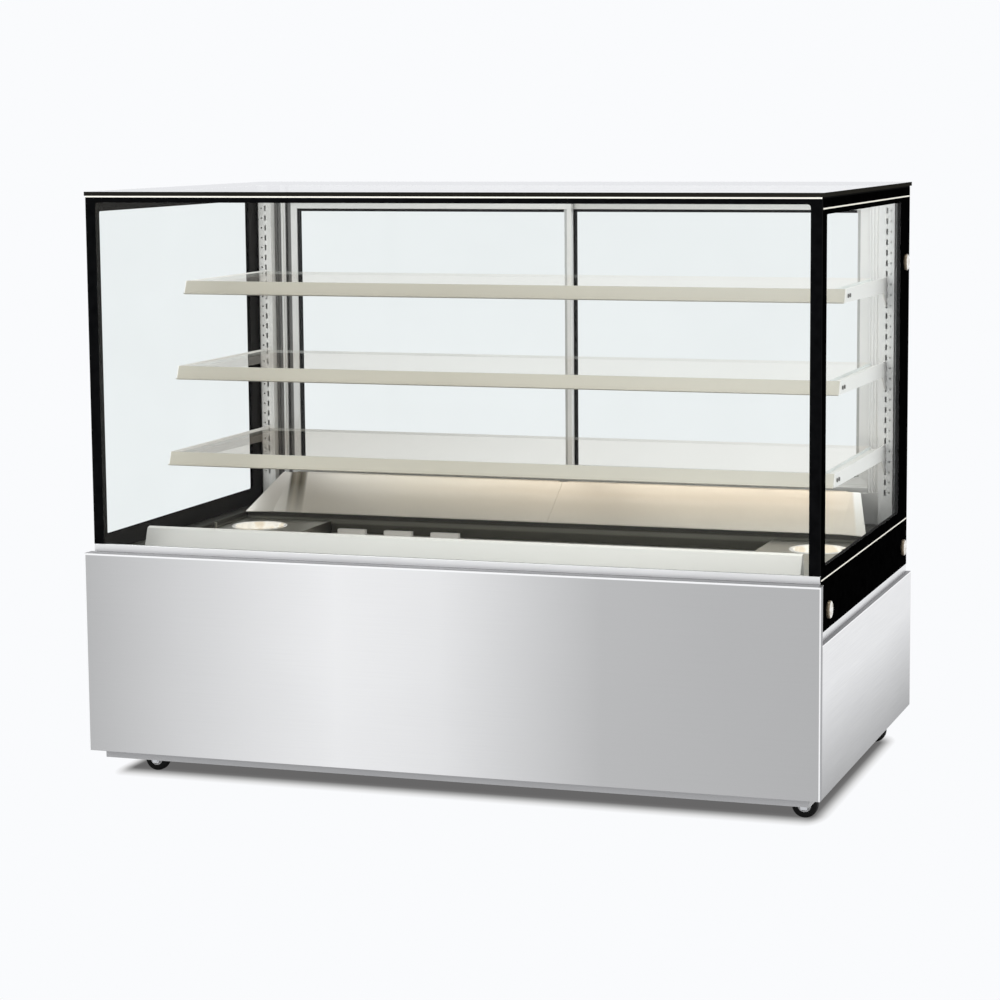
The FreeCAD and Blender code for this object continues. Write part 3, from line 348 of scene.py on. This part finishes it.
def polished(name, rim, low, high, scale, metallic=0.6, glow=0.0):
    """Bright turned or pressed metal: painted broken reflections on the face, painted shade on the rim, and
    a painted glow where one is asked for.
    """
    s = Shader(name)
    painted_reflection_breaks = s.noise((scale, scale, scale), 2.0, 0.4)
    # Painted reflections: noise breaks the face into light and dark patches.
    face = s.ramp(painted_reflection_breaks, [(0.38, low), (0.5, high), (0.62, tuple(c * 0.9 for c in high))])
    # Painted shade: faces that don't look along X take the darker rim colour.
    shader = s.principled(Base_Color=s.blend(s.facing("X", 0.8), rim, face) if rim else face,
                          Metallic=metallic, Roughness=s.spread(painted_reflection_breaks, 0.12, 0.24),
                          # The emission is painted light: these parts are no lamps.
                          Emission_Color=face, Emission_Strength=glow,
                          Normal=s.bump(painted_reflection_breaks, 0.0003))
    return s.finish(shader.outputs["BSDF"])


def rail_metal(name):
    """The shelf rails' satin cream, with painted light making it paler towards the right-hand end and
    painted shade making it duller on the upper shelves.
    """
    s = Shader(name)
    tooth = s.noise((900.0, 900.0, 900.0), 2.0, 0.6)
    reach = s.share(s.axis("X"), -0.1, 0.55)
    # Painted light along the rail: paler towards the right.
    along = s.ramp(reach, [(0.0, (0.515, 0.478, 0.400)), (1.0, (0.660, 0.625, 0.545))])
    # Painted shade on the upper shelves' rails.
    painted_shade_high = s.blend(s.spread(s.axis("Z"), 0.0, 0.13, 0.66, 1.0), along, (0.0, 0.0, 0.0))
    colour = s.blend(s.spread(tooth, 0.0, 0.12), painted_shade_high, (0.40, 0.37, 0.31))
    shader = s.principled(Base_Color=colour, Metallic=0.1, Roughness=s.spread(tooth, 0.38, 0.48),
                          Normal=s.bump(tooth, 0.00003))
    return s.finish(shader.outputs["BSDF"])


def lip_metal(name):
    """The satin white band at the front of the well, with painted shade making it a little greyer at its
    left-hand end.
    """
    s = Shader(name)
    tooth = s.noise((900.0, 900.0, 900.0), 2.0, 0.6)
    # Painted shade and light: greyer to the left, paler to the right.
    along = s.ramp(s.share(s.axis("X"), -0.65, 0.65),
                   [(0.0, (0.64, 0.62, 0.59)), (0.5, (0.76, 0.74, 0.70)), (1.0, (0.90, 0.87, 0.82))])
    shader = s.principled(Base_Color=s.blend(s.spread(tooth, 0.0, 0.08), along, (0.60, 0.58, 0.54)),
                          Metallic=0.15, Roughness=s.spread(tooth, 0.36, 0.44),
                          Normal=s.bump(tooth, 0.00003))
    return s.finish(shader.outputs["BSDF"])


def frame_metal(name, left, right, painted_streak, metallic):
    """Satin upright metal. Its inward faces carry a painted reflection of the well-lit inside: in streaks up
    the left-hand members, and almost white at the right-hand end."""
    s = Shader(name)
    tooth = s.noise((900.0, 900.0, 900.0), 2.0, 0.6)
    # Painted reflection: streaks up the left-hand members and a paler right-hand end.
    bands = s.noise((75.0, 30.0, 0.25), 1.0, 0.4)
    inward = s.math("LESS_THAN", s.outward("Y"), 0.5)
    aside = s.math("MULTIPLY", inward, s.math("LESS_THAN", s.axis("X"), -0.655))
    level = s.math("MULTIPLY", aside, s.share(bands, 0.46, 0.56))
    reach = s.math("MULTIPLY", inward, s.share(s.axis("X"), -0.2, 0.6))
    plain = s.blend(inward, (0.70, 0.70, 0.69), s.blend(reach, left, right))
    colour = s.blend(s.spread(tooth, 0.0, 0.06), s.blend(level, plain, painted_streak), (0.40, 0.40, 0.40))
    shader = s.principled(Base_Color=colour, Metallic=metallic, Roughness=s.spread(tooth, 0.28, 0.36),
                          Normal=s.bump(tooth, 0.00003))
    return s.finish(shader.outputs["BSDF"])


def seal_rubber(name):
    """Door seals: black, but painted pale grey as a highlight where they lie against each window's
    right-hand stile.
    """
    s = Shader(name)
    grain = s.noise((700.0, 700.0, 700.0), 3.0, 0.6)
    # Painted highlight: pale grey bands next to the right-hand stiles.
    left = s.math("MULTIPLY", s.math("GREATER_THAN", s.axis("X"), -0.011),
                  s.math("LESS_THAN", s.axis("X"), -0.002))
    right = s.math("GREATER_THAN", s.axis("X"), 0.632)
    rubber = s.blend(grain, (0.010, 0.010, 0.011), (0.020, 0.020, 0.021))
    colour = s.blend(s.math("MAXIMUM", left, right), rubber, (0.60, 0.60, 0.59))
    shader = s.principled(Base_Color=colour, Roughness=s.spread(grain, 0.5, 0.62),
                          Specular_IOR_Level=0.2, Normal=s.bump(grain, 0.00008))
    return s.finish(shader.outputs["BSDF"])


def lamp_cover(name):
    """The lit, ribbed cover of the light bar."""
    s = Shader(name)
    ribs = s.node("TexWave", wave_type="BANDS", bands_direction="X")
    s.feed(ribs.inputs["Vector"], s.place)
    ribs.inputs["Scale"].default_value = 18.0
    cover = s.ramp(ribs.outputs["Fac"], [(0.0, (0.80, 0.77, 0.68)), (1.0, (0.95, 0.93, 0.86))])
    shader = s.principled(Base_Color=cover, Roughness=0.35, Emission_Color=(1.0, 0.90, 0.74),
                          Emission_Strength=3.0, Normal=s.bump(ribs.outputs["Fac"], 0.0004))
    return s.finish(shader.outputs["BSDF"])


GLASS_TINT = (0.969, 0.979, 0.976)
LIGHT_EDGE = (0.93, 0.96, 0.95)
DARK_EDGE = (0.008, 0.008, 0.008)
mats = {
    "front": front_steel("front_steel"),
    "side": side_steel("side_steel"),
    "rear": brushed("rear_steel", (0.76, 0.76, 0.76), (0.60, 0.60, 0.61), 0.36, "X"),
    "inner_x": brushed("inner_steel_x", (0.40, 0.385, 0.34), (0.30, 0.29, 0.255), 0.34, "X"),
    # The uprights carry painted reflections: pale streaks and a near-white right-hand end.
    "inner_z": frame_metal("inner_steel_z", (0.93, 0.91, 0.885), (1.0, 0.99, 0.98), (0.84, 0.82, 0.79), 0.1),
    "mirror": rear_mirror("mirror_steel"),
    "dark": tub_steel("dark_steel"),
    "screw": plastic("dark_screw", (0.14, 0.13, 0.12), (0.09, 0.085, 0.08), 0.4),
    "trim": satin("satin_trim", (0.88, 0.88, 0.88), (0.80, 0.80, 0.80), 0.30),
    "rail": rail_metal("satin_rail"),
    "cream": satin("cream_line", (0.86, 0.83, 0.72), (0.78, 0.75, 0.64), 0.4, 0.0),
    "line": lid_line("lid_line"),
    "white": satin("satin_white", (0.90, 0.875, 0.845), (0.85, 0.825, 0.795), 0.38, 0.1),
    # The door frames carry painted reflections: dark streaks and a near-white right-hand end.
    "frame": frame_metal("satin_frame", (0.86, 0.845, 0.825), (1.0, 0.99, 0.98), (0.16, 0.155, 0.15), 0.4),
    "lip": lip_metal("satin_lip"),
    "paint": satin("grey_primer", (0.47, 0.47, 0.475), (0.41, 0.41, 0.415), 0.55, 0.1),
    "zinc": brushed("zinc_plate", (0.70, 0.71, 0.73), (0.52, 0.53, 0.55), 0.30, "Z"),
    "chrome": polished("polished_cap", (0.20, 0.16, 0.11), (0.45, 0.38, 0.28), (0.84, 0.81, 0.75), 90.0),
    # The water pans glow with painted light.
    "basin": polished("basin_steel", None, (0.86, 0.78, 0.66), (1.0, 0.98, 0.94), 38.0, metallic=0.15,
                      glow=0.25),
    "wool": plastic("mineral_wool", (0.74, 0.66, 0.46), (0.52, 0.45, 0.30), 0.9, depth=0.002,
                    scale=260.0),
    "heater": brushed("heater_sheath", (0.36, 0.31, 0.27), (0.20, 0.17, 0.16), 0.45, "X"),
    "black": plastic("black_plastic", (0.035, 0.035, 0.038), (0.018, 0.018, 0.020), 0.45),
    "gloss": plastic("gloss_plastic", (0.030, 0.030, 0.032), (0.018, 0.018, 0.020), 0.16,
                     depth=0.00001),
    "rubber": plastic("tyre_rubber", (0.012, 0.012, 0.012), (0.006, 0.006, 0.006), 0.6,
                      depth=0.0002, scale=900.0, specular=0.08),
    "hub": plastic("hub_plastic", (0.66, 0.66, 0.66), (0.52, 0.52, 0.53), 0.42),
    "seal": seal_rubber("seal_rubber"),
    "frit": enamel("black_print", (0.0026, 0.0027, 0.0030)),
    "frit_side": enamel("black_print_side", (0.0003, 0.0003, 0.0003)),
    "frit_inner": enamel("black_print_inner", (0.019, 0.018, 0.017)),
    "glass_y": pane("clear_glass_y", "Y", GLASS_TINT, DARK_EDGE, 0.25),
    "glass_x": pane("clear_glass_x", "X", GLASS_TINT, DARK_EDGE, 0.06),
    "lid": pane("lid_glass", "Z", GLASS_TINT, (0.018, 0.017, 0.014), 1.07, (0.88, 0.885, 0.90)),
    # The shelves carry painted shade towards their left-hand ends and a painted sheen towards their
    # right-hand ends.
    "shelf": pane("shelf_glass", "Z", (0.970, 0.968, 0.955), LIGHT_EDGE, 0.9, (1.0, 0.975, 0.945),
                  left_painted_shade=(0.855, 0.84, 0.82), right_painted_sheen=1.35),
    "low_shelf": pane("low_shelf_glass", "Z", (0.970, 0.966, 0.950), LIGHT_EDGE, 0.85,
                      (1.0, 0.965, 0.93), left_painted_shade=(0.73, 0.705, 0.67), right_painted_sheen=1.6),
    "lamp": lamp_cover("lamp_cover"),
    "display": plastic("display_window", (0.045, 0.008, 0.008), (0.020, 0.004, 0.004), 0.12,
                       depth=0.00001),
}

SURFACES = {
    "front": ["front_panel"],
    "side": ["left_panel", "right_panel"],
    "rear": ["rear_panel"],
    "trim": ["front_trim", "side_trims"],
    "line": ["top_trim"],
    "glass_y": ["front_glass", "left_door_glass", "right_door_glass"],
    "glass_x": ["left_glass", "right_glass"],
    "lid": ["lid"],
    "shelf": ["top_shelf", "middle_shelf"],
    "low_shelf": ["bottom_shelf"],
    "rail": ["top_rail", "middle_rail", "bottom_rail"],
    "inner_z": ["left_upright", "right_upright"],
    "white": ["top_brackets", "middle_brackets", "bottom_brackets", "air_grille"],
    "lip": ["front_deflector"],
    "inner_x": ["deck_plates"],
    "basin": ["water_pans"],
    "mirror": ["rear_deflector"],
    "dark": ["deck_tub"],
    "screw": ["bracket_screws"],
    "frame": ["door_frame", "left_door", "right_door"],
    "paint": ["base_frame", "floor_pan", "well_casing"],
    "zinc": ["castor_plates"],
    "chrome": ["glass_caps"],
    "wool": ["insulation"],
    "heater": ["heater_elements"],
    "black": ["fan_housings", "left_fan", "right_fan", "controller", "switch_frames",
              "cable_gland"],
    "gloss": ["power_rocker", "light_rocker"],
    "seal": ["left_door_seal", "right_door_seal"],
    "lamp": ["light_bar"],
}
for end in ("front", "rear"):
    for side in ("left", "right"):
        SURFACES["zinc"].append(f"{end}_{side}_fork")
        SURFACES["black"].append(f"{end}_{side}_wheel")


def coat(item, material):
    item.data.materials.clear()
    item.data.materials.append(material)


for key, members in SURFACES.items():
    for member in members:
        coat(nodes[member], mats[key])

# Widths of the rounded edges that catch the light.
EASED = {"front_panel": 0.0008, "left_panel": 0.0006, "right_panel": 0.0006, "front_trim": 0.0005,
         "side_trims": 0.0005, "lid": 0.0012, "top_rail": 0.0004, "middle_rail": 0.0004,
         "bottom_rail": 0.0004, "left_door": 0.0008, "right_door": 0.0008, "door_frame": 0.0008,
         "front_deflector": 0.0003, "controller": 0.0006, "switch_frames": 0.0004,
         "glass_caps": 0.0024}
for member, width in EASED.items():
    weld = nodes[member].modifiers.new("weld", "WELD")
    weld.merge_threshold = 0.00001
    ease = nodes[member].modifiers.new("ease", "BEVEL")
    ease.width = width
    ease.segments = 2
    ease.limit_method = "ANGLE"
    ease.angle_limit = math.radians(40)


# ---------------------------------------------------------------- new pieces

def piece(name, mesh, material, body):
    item = bpy.data.objects.new(name, mesh)
    bpy.context.scene.collection.objects.link(item)
    coat(item, material)
    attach(item, body)
    return item


def joined(name, parts):
    """One mesh from several (bmesh builder, matrix) parts."""
    whole = bmesh.new()
    for build, matrix in parts:
        made = bmesh.new()
        build(made)
        made.transform(matrix)
        mesh = bpy.data.meshes.new("part")
        made.to_mesh(mesh)
        made.free()
        whole.from_mesh(mesh)
        bpy.data.meshes.remove(mesh)
    bmesh.ops.recalc_face_normals(whole, faces=whole.faces)
    mesh = bpy.data.meshes.new(name)
    whole.to_mesh(mesh)
    whole.free()
    return mesh


def plate(outline, thickness):
    """A builder for a flat closed outline in XY, given a thickness along Z."""
    def build(made):
        low = [made.verts.new((x, y, 0.0)) for x, y in outline]
        face = made.faces.new(low)
        solid = bmesh.ops.extrude_face_region(made, geom=[face])
        lifted = [v for v in solid["geom"] if isinstance(v, bmesh.types.BMVert)]
        bmesh.ops.translate(made, vec=(0.0, 0.0, thickness), verts=lifted)
    return build


def ring_plate(outer, inner, thickness):
    """A builder for a flat frame between two loops that have the same number of points."""
    def build(made):
        loops = [[made.verts.new((x, y, z)) for x, y in loop]
                 for z in (0.0, thickness) for loop in (outer, inner)]
        outer_low, inner_low, outer_high, inner_high = loops
        for a, b in ((outer_low, inner_low), (inner_high, outer_high), (outer_high, outer_low),
                     (inner_low, inner_high)):
            for i in range(len(a)):
                j = (i + 1) % len(a)
                made.faces.new((a[i], a[j], b[j], b[i]))
    return build


def lathe(profile, steps=48):
    """A builder for a closed (radius, height) profile turned about Z."""
    def build(made):
        rings = []
        for i in range(steps):
            turn = 2 * math.pi * i / steps
            rings.append([made.verts.new((r * math.cos(turn), r * math.sin(turn), h))
                          for r, h in profile])
        for i in range(steps):
            a, b = rings[i], rings[(i + 1) % steps]
            for j in range(len(profile)):
                k = (j + 1) % len(profile)
                made.faces.new((a[j], b[j], b[k], a[k]))
        bmesh.ops.remove_doubles(made, verts=made.verts, dist=1e-7)
    return build


def corner(cx, cy, radius, start, steps=8):
    return [(cx + radius * math.cos(start + math.pi / 2 * i / steps),
             cy + radius * math.sin(start + math.pi / 2 * i / steps)) for i in range(steps + 1)]


def rounded(x0, y0, x1, y1, radius, steps=8):
    """A rounded rectangle, anticlockwise from its right side's lower corner."""
    return (corner(x1 - radius, y0 + radius, radius, -math.pi / 2, steps)
            + corner(x1 - radius, y1 - radius, radius, 0.0, steps)
            + corner(x0 + radius, y1 - radius, radius, math.pi / 2, steps)
            + corner(x0 + radius, y0 + radius, radius, math.pi, steps))


def upright_plane(y):
    """Places XY shapes in the XZ plane at depth y, with their thickness towards -Y."""
    return Matrix(((1, 0, 0, 0), (0, 0, -1, y), (0, 1, 0, 0), (0, 0, 0, 1)))


def side_plane(x, outward):
    """Places XY shapes in the YZ plane at x, with their thickness along outward."""
    return Matrix(((0, 0, outward, x), (1, 0, 0, 0), (0, 1, 0, 0), (0, 0, 0, 1)))


# The black print fired onto the glass, and the light lines on the side glass.
PRINT = 0.0003  # its thickness
WINDOW_FRONT, WINDOW_REAR, WINDOW_TOP, WINDOW_SILL = 0.034, 0.095, 0.029, 0.490
STRIPE_HIGH, STRIPE_SHORT = 0.0028, 0.003

low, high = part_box("front_glass")
margin, band, radius = 0.021, 0.010, 0.006
opening = (corner(high.x - margin - radius, high.z - band - radius, radius, 0.0)
           + corner(low.x + margin + radius, high.z - band - radius, radius, math.pi / 2))
arch = ([(low.x, low.z), (low.x + margin, low.z)] + opening[::-1]
        + [(high.x - margin, low.z), (high.x, low.z), (high.x, high.z), (low.x, high.z)])
piece("front_print", joined("front_print", [(plate(arch, PRINT), upright_plane(low.y))]),
      mats["frit"], "cabinet")

for side, sign in (("left", -1), ("right", 1)):
    low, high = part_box(f"{side}_glass")
    window = rounded(low.y + WINDOW_FRONT, WINDOW_SILL, high.y - WINDOW_REAR, high.z - WINDOW_TOP, 0.004)
    border = rounded(low.y, low.z, high.y, high.z, 0.0005)
    outer_x, inner_x = (high.x, low.x) if sign > 0 else (low.x, high.x)
    for face, x, outward, ink in (("outer", outer_x, sign, "frit_side"),
                                  ("inner", inner_x, -sign, "frit_inner")):
        name = f"{side}_{face}_print"
        piece(name, joined(name, [(ring_plate(border, window, PRINT), side_plane(x, outward))]),
              mats[ink], "cabinet")
    stripe_end = high.y - STRIPE_SHORT
    stripes = [[(low.y, z), (stripe_end, z), (stripe_end, z + STRIPE_HIGH), (low.y, z + STRIPE_HIGH)]
               for z in (0.466, high.z - 0.0195)]
    on_print = side_plane(outer_x + sign * PRINT, sign)
    piece(f"{side}_pinstripes",
          joined(f"{side}_pinstripes", [(plate(stripe, PRINT), on_print) for stripe in stripes]),
          mats["cream"], "cabinet")

# Castor wheels: (radius, place along the axle) profiles, and one rib of the hub.
TYRE = [(0.0130, -0.0092), (0.0150, -0.0096), (0.0200, -0.0100), (0.0228, -0.0092),
        (0.0243, -0.0072), (0.0249, -0.0045), (0.0250, -0.0012), (0.0246, -0.0004),
        (0.0246, 0.0004), (0.0250, 0.0012), (0.0249, 0.0045), (0.0243, 0.0072),
        (0.0228, 0.0092), (0.0200, 0.0100), (0.0150, 0.0096), (0.0130, 0.0092)]
HUB = [(0.0041, -0.0110), (0.0070, -0.0110), (0.0075, -0.0104), (0.0077, -0.0068),
       (0.0114, -0.0062), (0.0120, -0.0090), (0.0131, -0.0092), (0.0131, 0.0092),
       (0.0120, 0.0090), (0.0114, 0.0062), (0.0077, 0.0068), (0.0075, 0.0104),
       (0.0070, 0.0110), (0.0041, 0.0110)]
RIB = rounded(0.0072, -0.0008, 0.0120, 0.0008, 0.0006, 2)
RIB_LONG, RIBS = 0.0165, 6
for end in ("front", "rear"):
    for side in ("left", "right"):
        name = f"{end}_{side}"
        low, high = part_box(f"{name}_wheel")
        to_axle = Matrix.Translation((low + high) / 2) @ Matrix.Rotation(math.pi / 2, 4, "X")
        tyre = piece(f"{name}_tyre", joined(f"{name}_tyre", [(lathe(TYRE), to_axle)]),
                     mats["rubber"], f"{name}_wheel_body")
        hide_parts(f"{name}_wheel")
        parts = [(lathe(HUB), to_axle)]
        for i in range(RIBS):
            spin = Matrix.Rotation(i * 2 * math.pi / RIBS, 4, "Z")
            parts.append((plate(RIB, RIB_LONG), to_axle @ spin @ Matrix.Translation((0, 0, -RIB_LONG / 2))))
        piece(f"{name}_hub", joined(f"{name}_hub", parts), mats["hub"], f"{name}_wheel_body")

# Hoods pressed out of the service panel over each louvre.
low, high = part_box("rear_panel")
HOOD = [(0.0, 0.0), (0.009, -0.0095), (0.0102, -0.0090), (0.0012, 0.0018), (0.0, 0.0022)]
HOOD_LONG, HOOD_LOW, HOOD_PITCH, HOOD_ROWS = 0.160, 0.1562, 0.014, 10
parts = []
for bank in (-0.33, 0.0, 0.33):
    for row in range(HOOD_ROWS):
        place = Matrix(((0, 0, 1, bank - HOOD_LONG / 2), (1, 0, 0, high.y),
                        (0, 1, 0, HOOD_LOW + HOOD_PITCH * row), (0, 0, 0, 1)))
        parts.append((plate(HOOD, HOOD_LONG), place))
piece("louvre_hoods", joined("louvre_hoods", parts), mats["rear"], "cabinet")

# Screws that hold the service panel.
SCREW = [(0.0, 0.0), (0.0045, 0.0), (0.0045, 0.0008), (0.0038, 0.0020), (0.0022, 0.0026),
         (0.0014, 0.0026), (0.0013, 0.0014), (0.0, 0.0012)]
spots = [(x, z) for x in (-0.70, -0.23, 0.23, 0.70) for z in (0.085, 0.335)]
parts = [(lathe(SCREW, 24), Matrix.Translation((x, high.y, z)) @ Matrix.Rotation(-math.pi / 2, 4, "X"))
         for x, z in spots]
piece("service_screws", joined("service_screws", parts), mats["zinc"], "cabinet")

# Four bolts in each castor plate, which is 70 by 60 mm.
BOLT_RADIUS, BOLT_HIGH, BOLT_Z = 0.0055, 0.0035, 0.0635
HEAD = [(BOLT_RADIUS * math.cos(math.pi / 3 * i), BOLT_RADIUS * math.sin(math.pi / 3 * i))
        for i in range(6)]
low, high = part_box("castor_plates")
parts = [(plate(HEAD, BOLT_HIGH), Matrix.Translation((sx * (high.x - 0.035) + dx * 0.026,
                                                       sy * (high.y - 0.030) + dy * 0.021, BOLT_Z)))
         for sx in (-1, 1) for sy in (-1, 1) for dx in (-1, 1) for dy in (-1, 1)]
piece("castor_bolts", joined("castor_bolts", parts), mats["zinc"], "cabinet")

# The controller's dark window and its four flush keys.
KEY_WIDE, KEY_PITCH = 0.0074, 0.010
low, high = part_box("controller")
middle_z = (low.z + high.z) / 2
centre_x = (low.x + high.x) / 2
window = rounded(centre_x - 0.0318, middle_z - 0.0108, centre_x + 0.0118, middle_z + 0.0108, 0.001)
piece("controller_window", joined("controller_window", [
    (plate(window, 0.0008), upright_plane(high.y - 0.0001))]), mats["display"], "cabinet")
keys = []
for i in range(4):
    x, z = centre_x + 0.0173 + KEY_PITCH * (i % 2), middle_z - 0.0087 + KEY_PITCH * (i // 2)
    key = rounded(x, z, x + KEY_WIDE, z + KEY_WIDE, 0.0015)
    keys.append((plate(key, 0.0008), upright_plane(high.y - 0.0002)))
piece("controller_keys", joined("controller_keys", keys), mats["hub"], "cabinet")


# ---------------------------------------------------------------- studio

BACKDROP = (0.956, 0.965, 0.982)


def floor_material():
    """A glowing sweep, as bright as the backdrop, with a soft shadow painted under the case."""
    s = Shader("studio_floor")
    reach = [s.math("DIVIDE", s.math("SUBTRACT", s.math("ABSOLUTE", s.axis(name)), half), soft)
             for name, half, soft in (("X", 0.704, 0.038), ("Y", 0.318, 0.088))]
    squares = [s.math("POWER", s.math("MAXIMUM", r, 0.0), 2.0) for r in reach]
    shade = s.math("SQRT", s.math("ADD", *squares))
    tone = s.ramp(shade, [(0.0, (0.137, 0.135, 0.135)), (0.2, (0.165, 0.163, 0.163)),
                          (0.45, (0.42, 0.42, 0.42)), (0.72, (0.75, 0.75, 0.755)), (1.0, BACKDROP)])
    glow = s.node("Emission")
    s.feed(glow.inputs["Color"], tone)
    return s.finish(glow.outputs[0])


FLOOR = 40  # half its side
sheet = bpy.data.meshes.new("studio_floor")
sheet.from_pydata([(-FLOOR, -FLOOR, 0), (FLOOR, -FLOOR, 0), (FLOOR, FLOOR, 0), (-FLOOR, FLOOR, 0)],
                  [], [(0, 1, 2, 3)])
floor = bpy.data.objects.new("studio_floor", sheet)
bpy.context.scene.collection.objects.link(floor)
floor.data.materials.append(floor_material())


def softbox(name, place, aim, width, height, watts):
    light = bpy.data.lights.new(name, "AREA")
    light.shape = "RECTANGLE"
    light.size, light.size_y, light.energy = width, height, watts
    item = bpy.data.objects.new(name, light)
    bpy.context.scene.collection.objects.link(item)
    item.location = place
    item.rotation_euler = (Vector(aim) - Vector(place)).to_track_quat("-Z", "Y").to_euler()


softbox("key", (-2.6, -4.2, 4.2), (0.0, 0.0, 0.6), 2.5, 2.0, 60)
softbox("fill", (4.5, -1.5, 3.2), (0.2, 0.0, 0.6), 2.0, 2.5, 30)
softbox("top", (0.0, 0.6, 4.5), (0.0, 0.0, 1.0), 3.0, 2.0, 50)

world = bpy.data.worlds.new("studio")
bpy.context.scene.world = world
world.use_nodes = True
tree = world.node_tree
tree.nodes.clear()
path = tree.nodes.new("ShaderNodeLightPath")
mix = tree.nodes.new("ShaderNodeMixShader")
end = tree.nodes.new("ShaderNodeOutputWorld")
tree.links.new(path.outputs["Is Camera Ray"], mix.inputs[0])
tree.links.new(mix.outputs[0], end.inputs[0])
for slot, colour in ((1, (0.97, 0.975, 0.985)), (2, BACKDROP)):  # what lights the case, what is seen
    background = tree.nodes.new("ShaderNodeBackground")
    background.inputs["Color"].default_value = (*colour, 1)
    tree.links.new(background.outputs[0], mix.inputs[slot])

bpy.context.scene.view_settings.view_transform = "Standard"
bpy.context.scene.view_settings.look = "None"

# The camera: its place in metres and its turns in radians.
CAMERA_PLACE = (1.8096, -5.3362, 1.3124)
yaw, pitch, roll = 0.320, 0.126, -0.007
forward = Vector((-math.sin(yaw) * math.cos(pitch), math.cos(yaw) * math.cos(pitch),
                  -math.sin(pitch)))
right = Vector((math.cos(yaw), math.sin(yaw), 0.0))
above = right.cross(forward)
turn = Matrix((right, above, -forward)).transposed().to_4x4()
lens = bpy.data.cameras.new("camera")
lens.sensor_width = 36.0
lens.lens = 99.18
lens.shift_x, lens.shift_y = -0.030, -0.030
camera = bpy.data.objects.new("camera", lens)
bpy.context.scene.collection.objects.link(camera)
camera.matrix_world = Matrix.Translation(CAMERA_PLACE) @ turn @ Matrix.Rotation(roll, 4, "Z")
bpy.context.scene.camera = camera
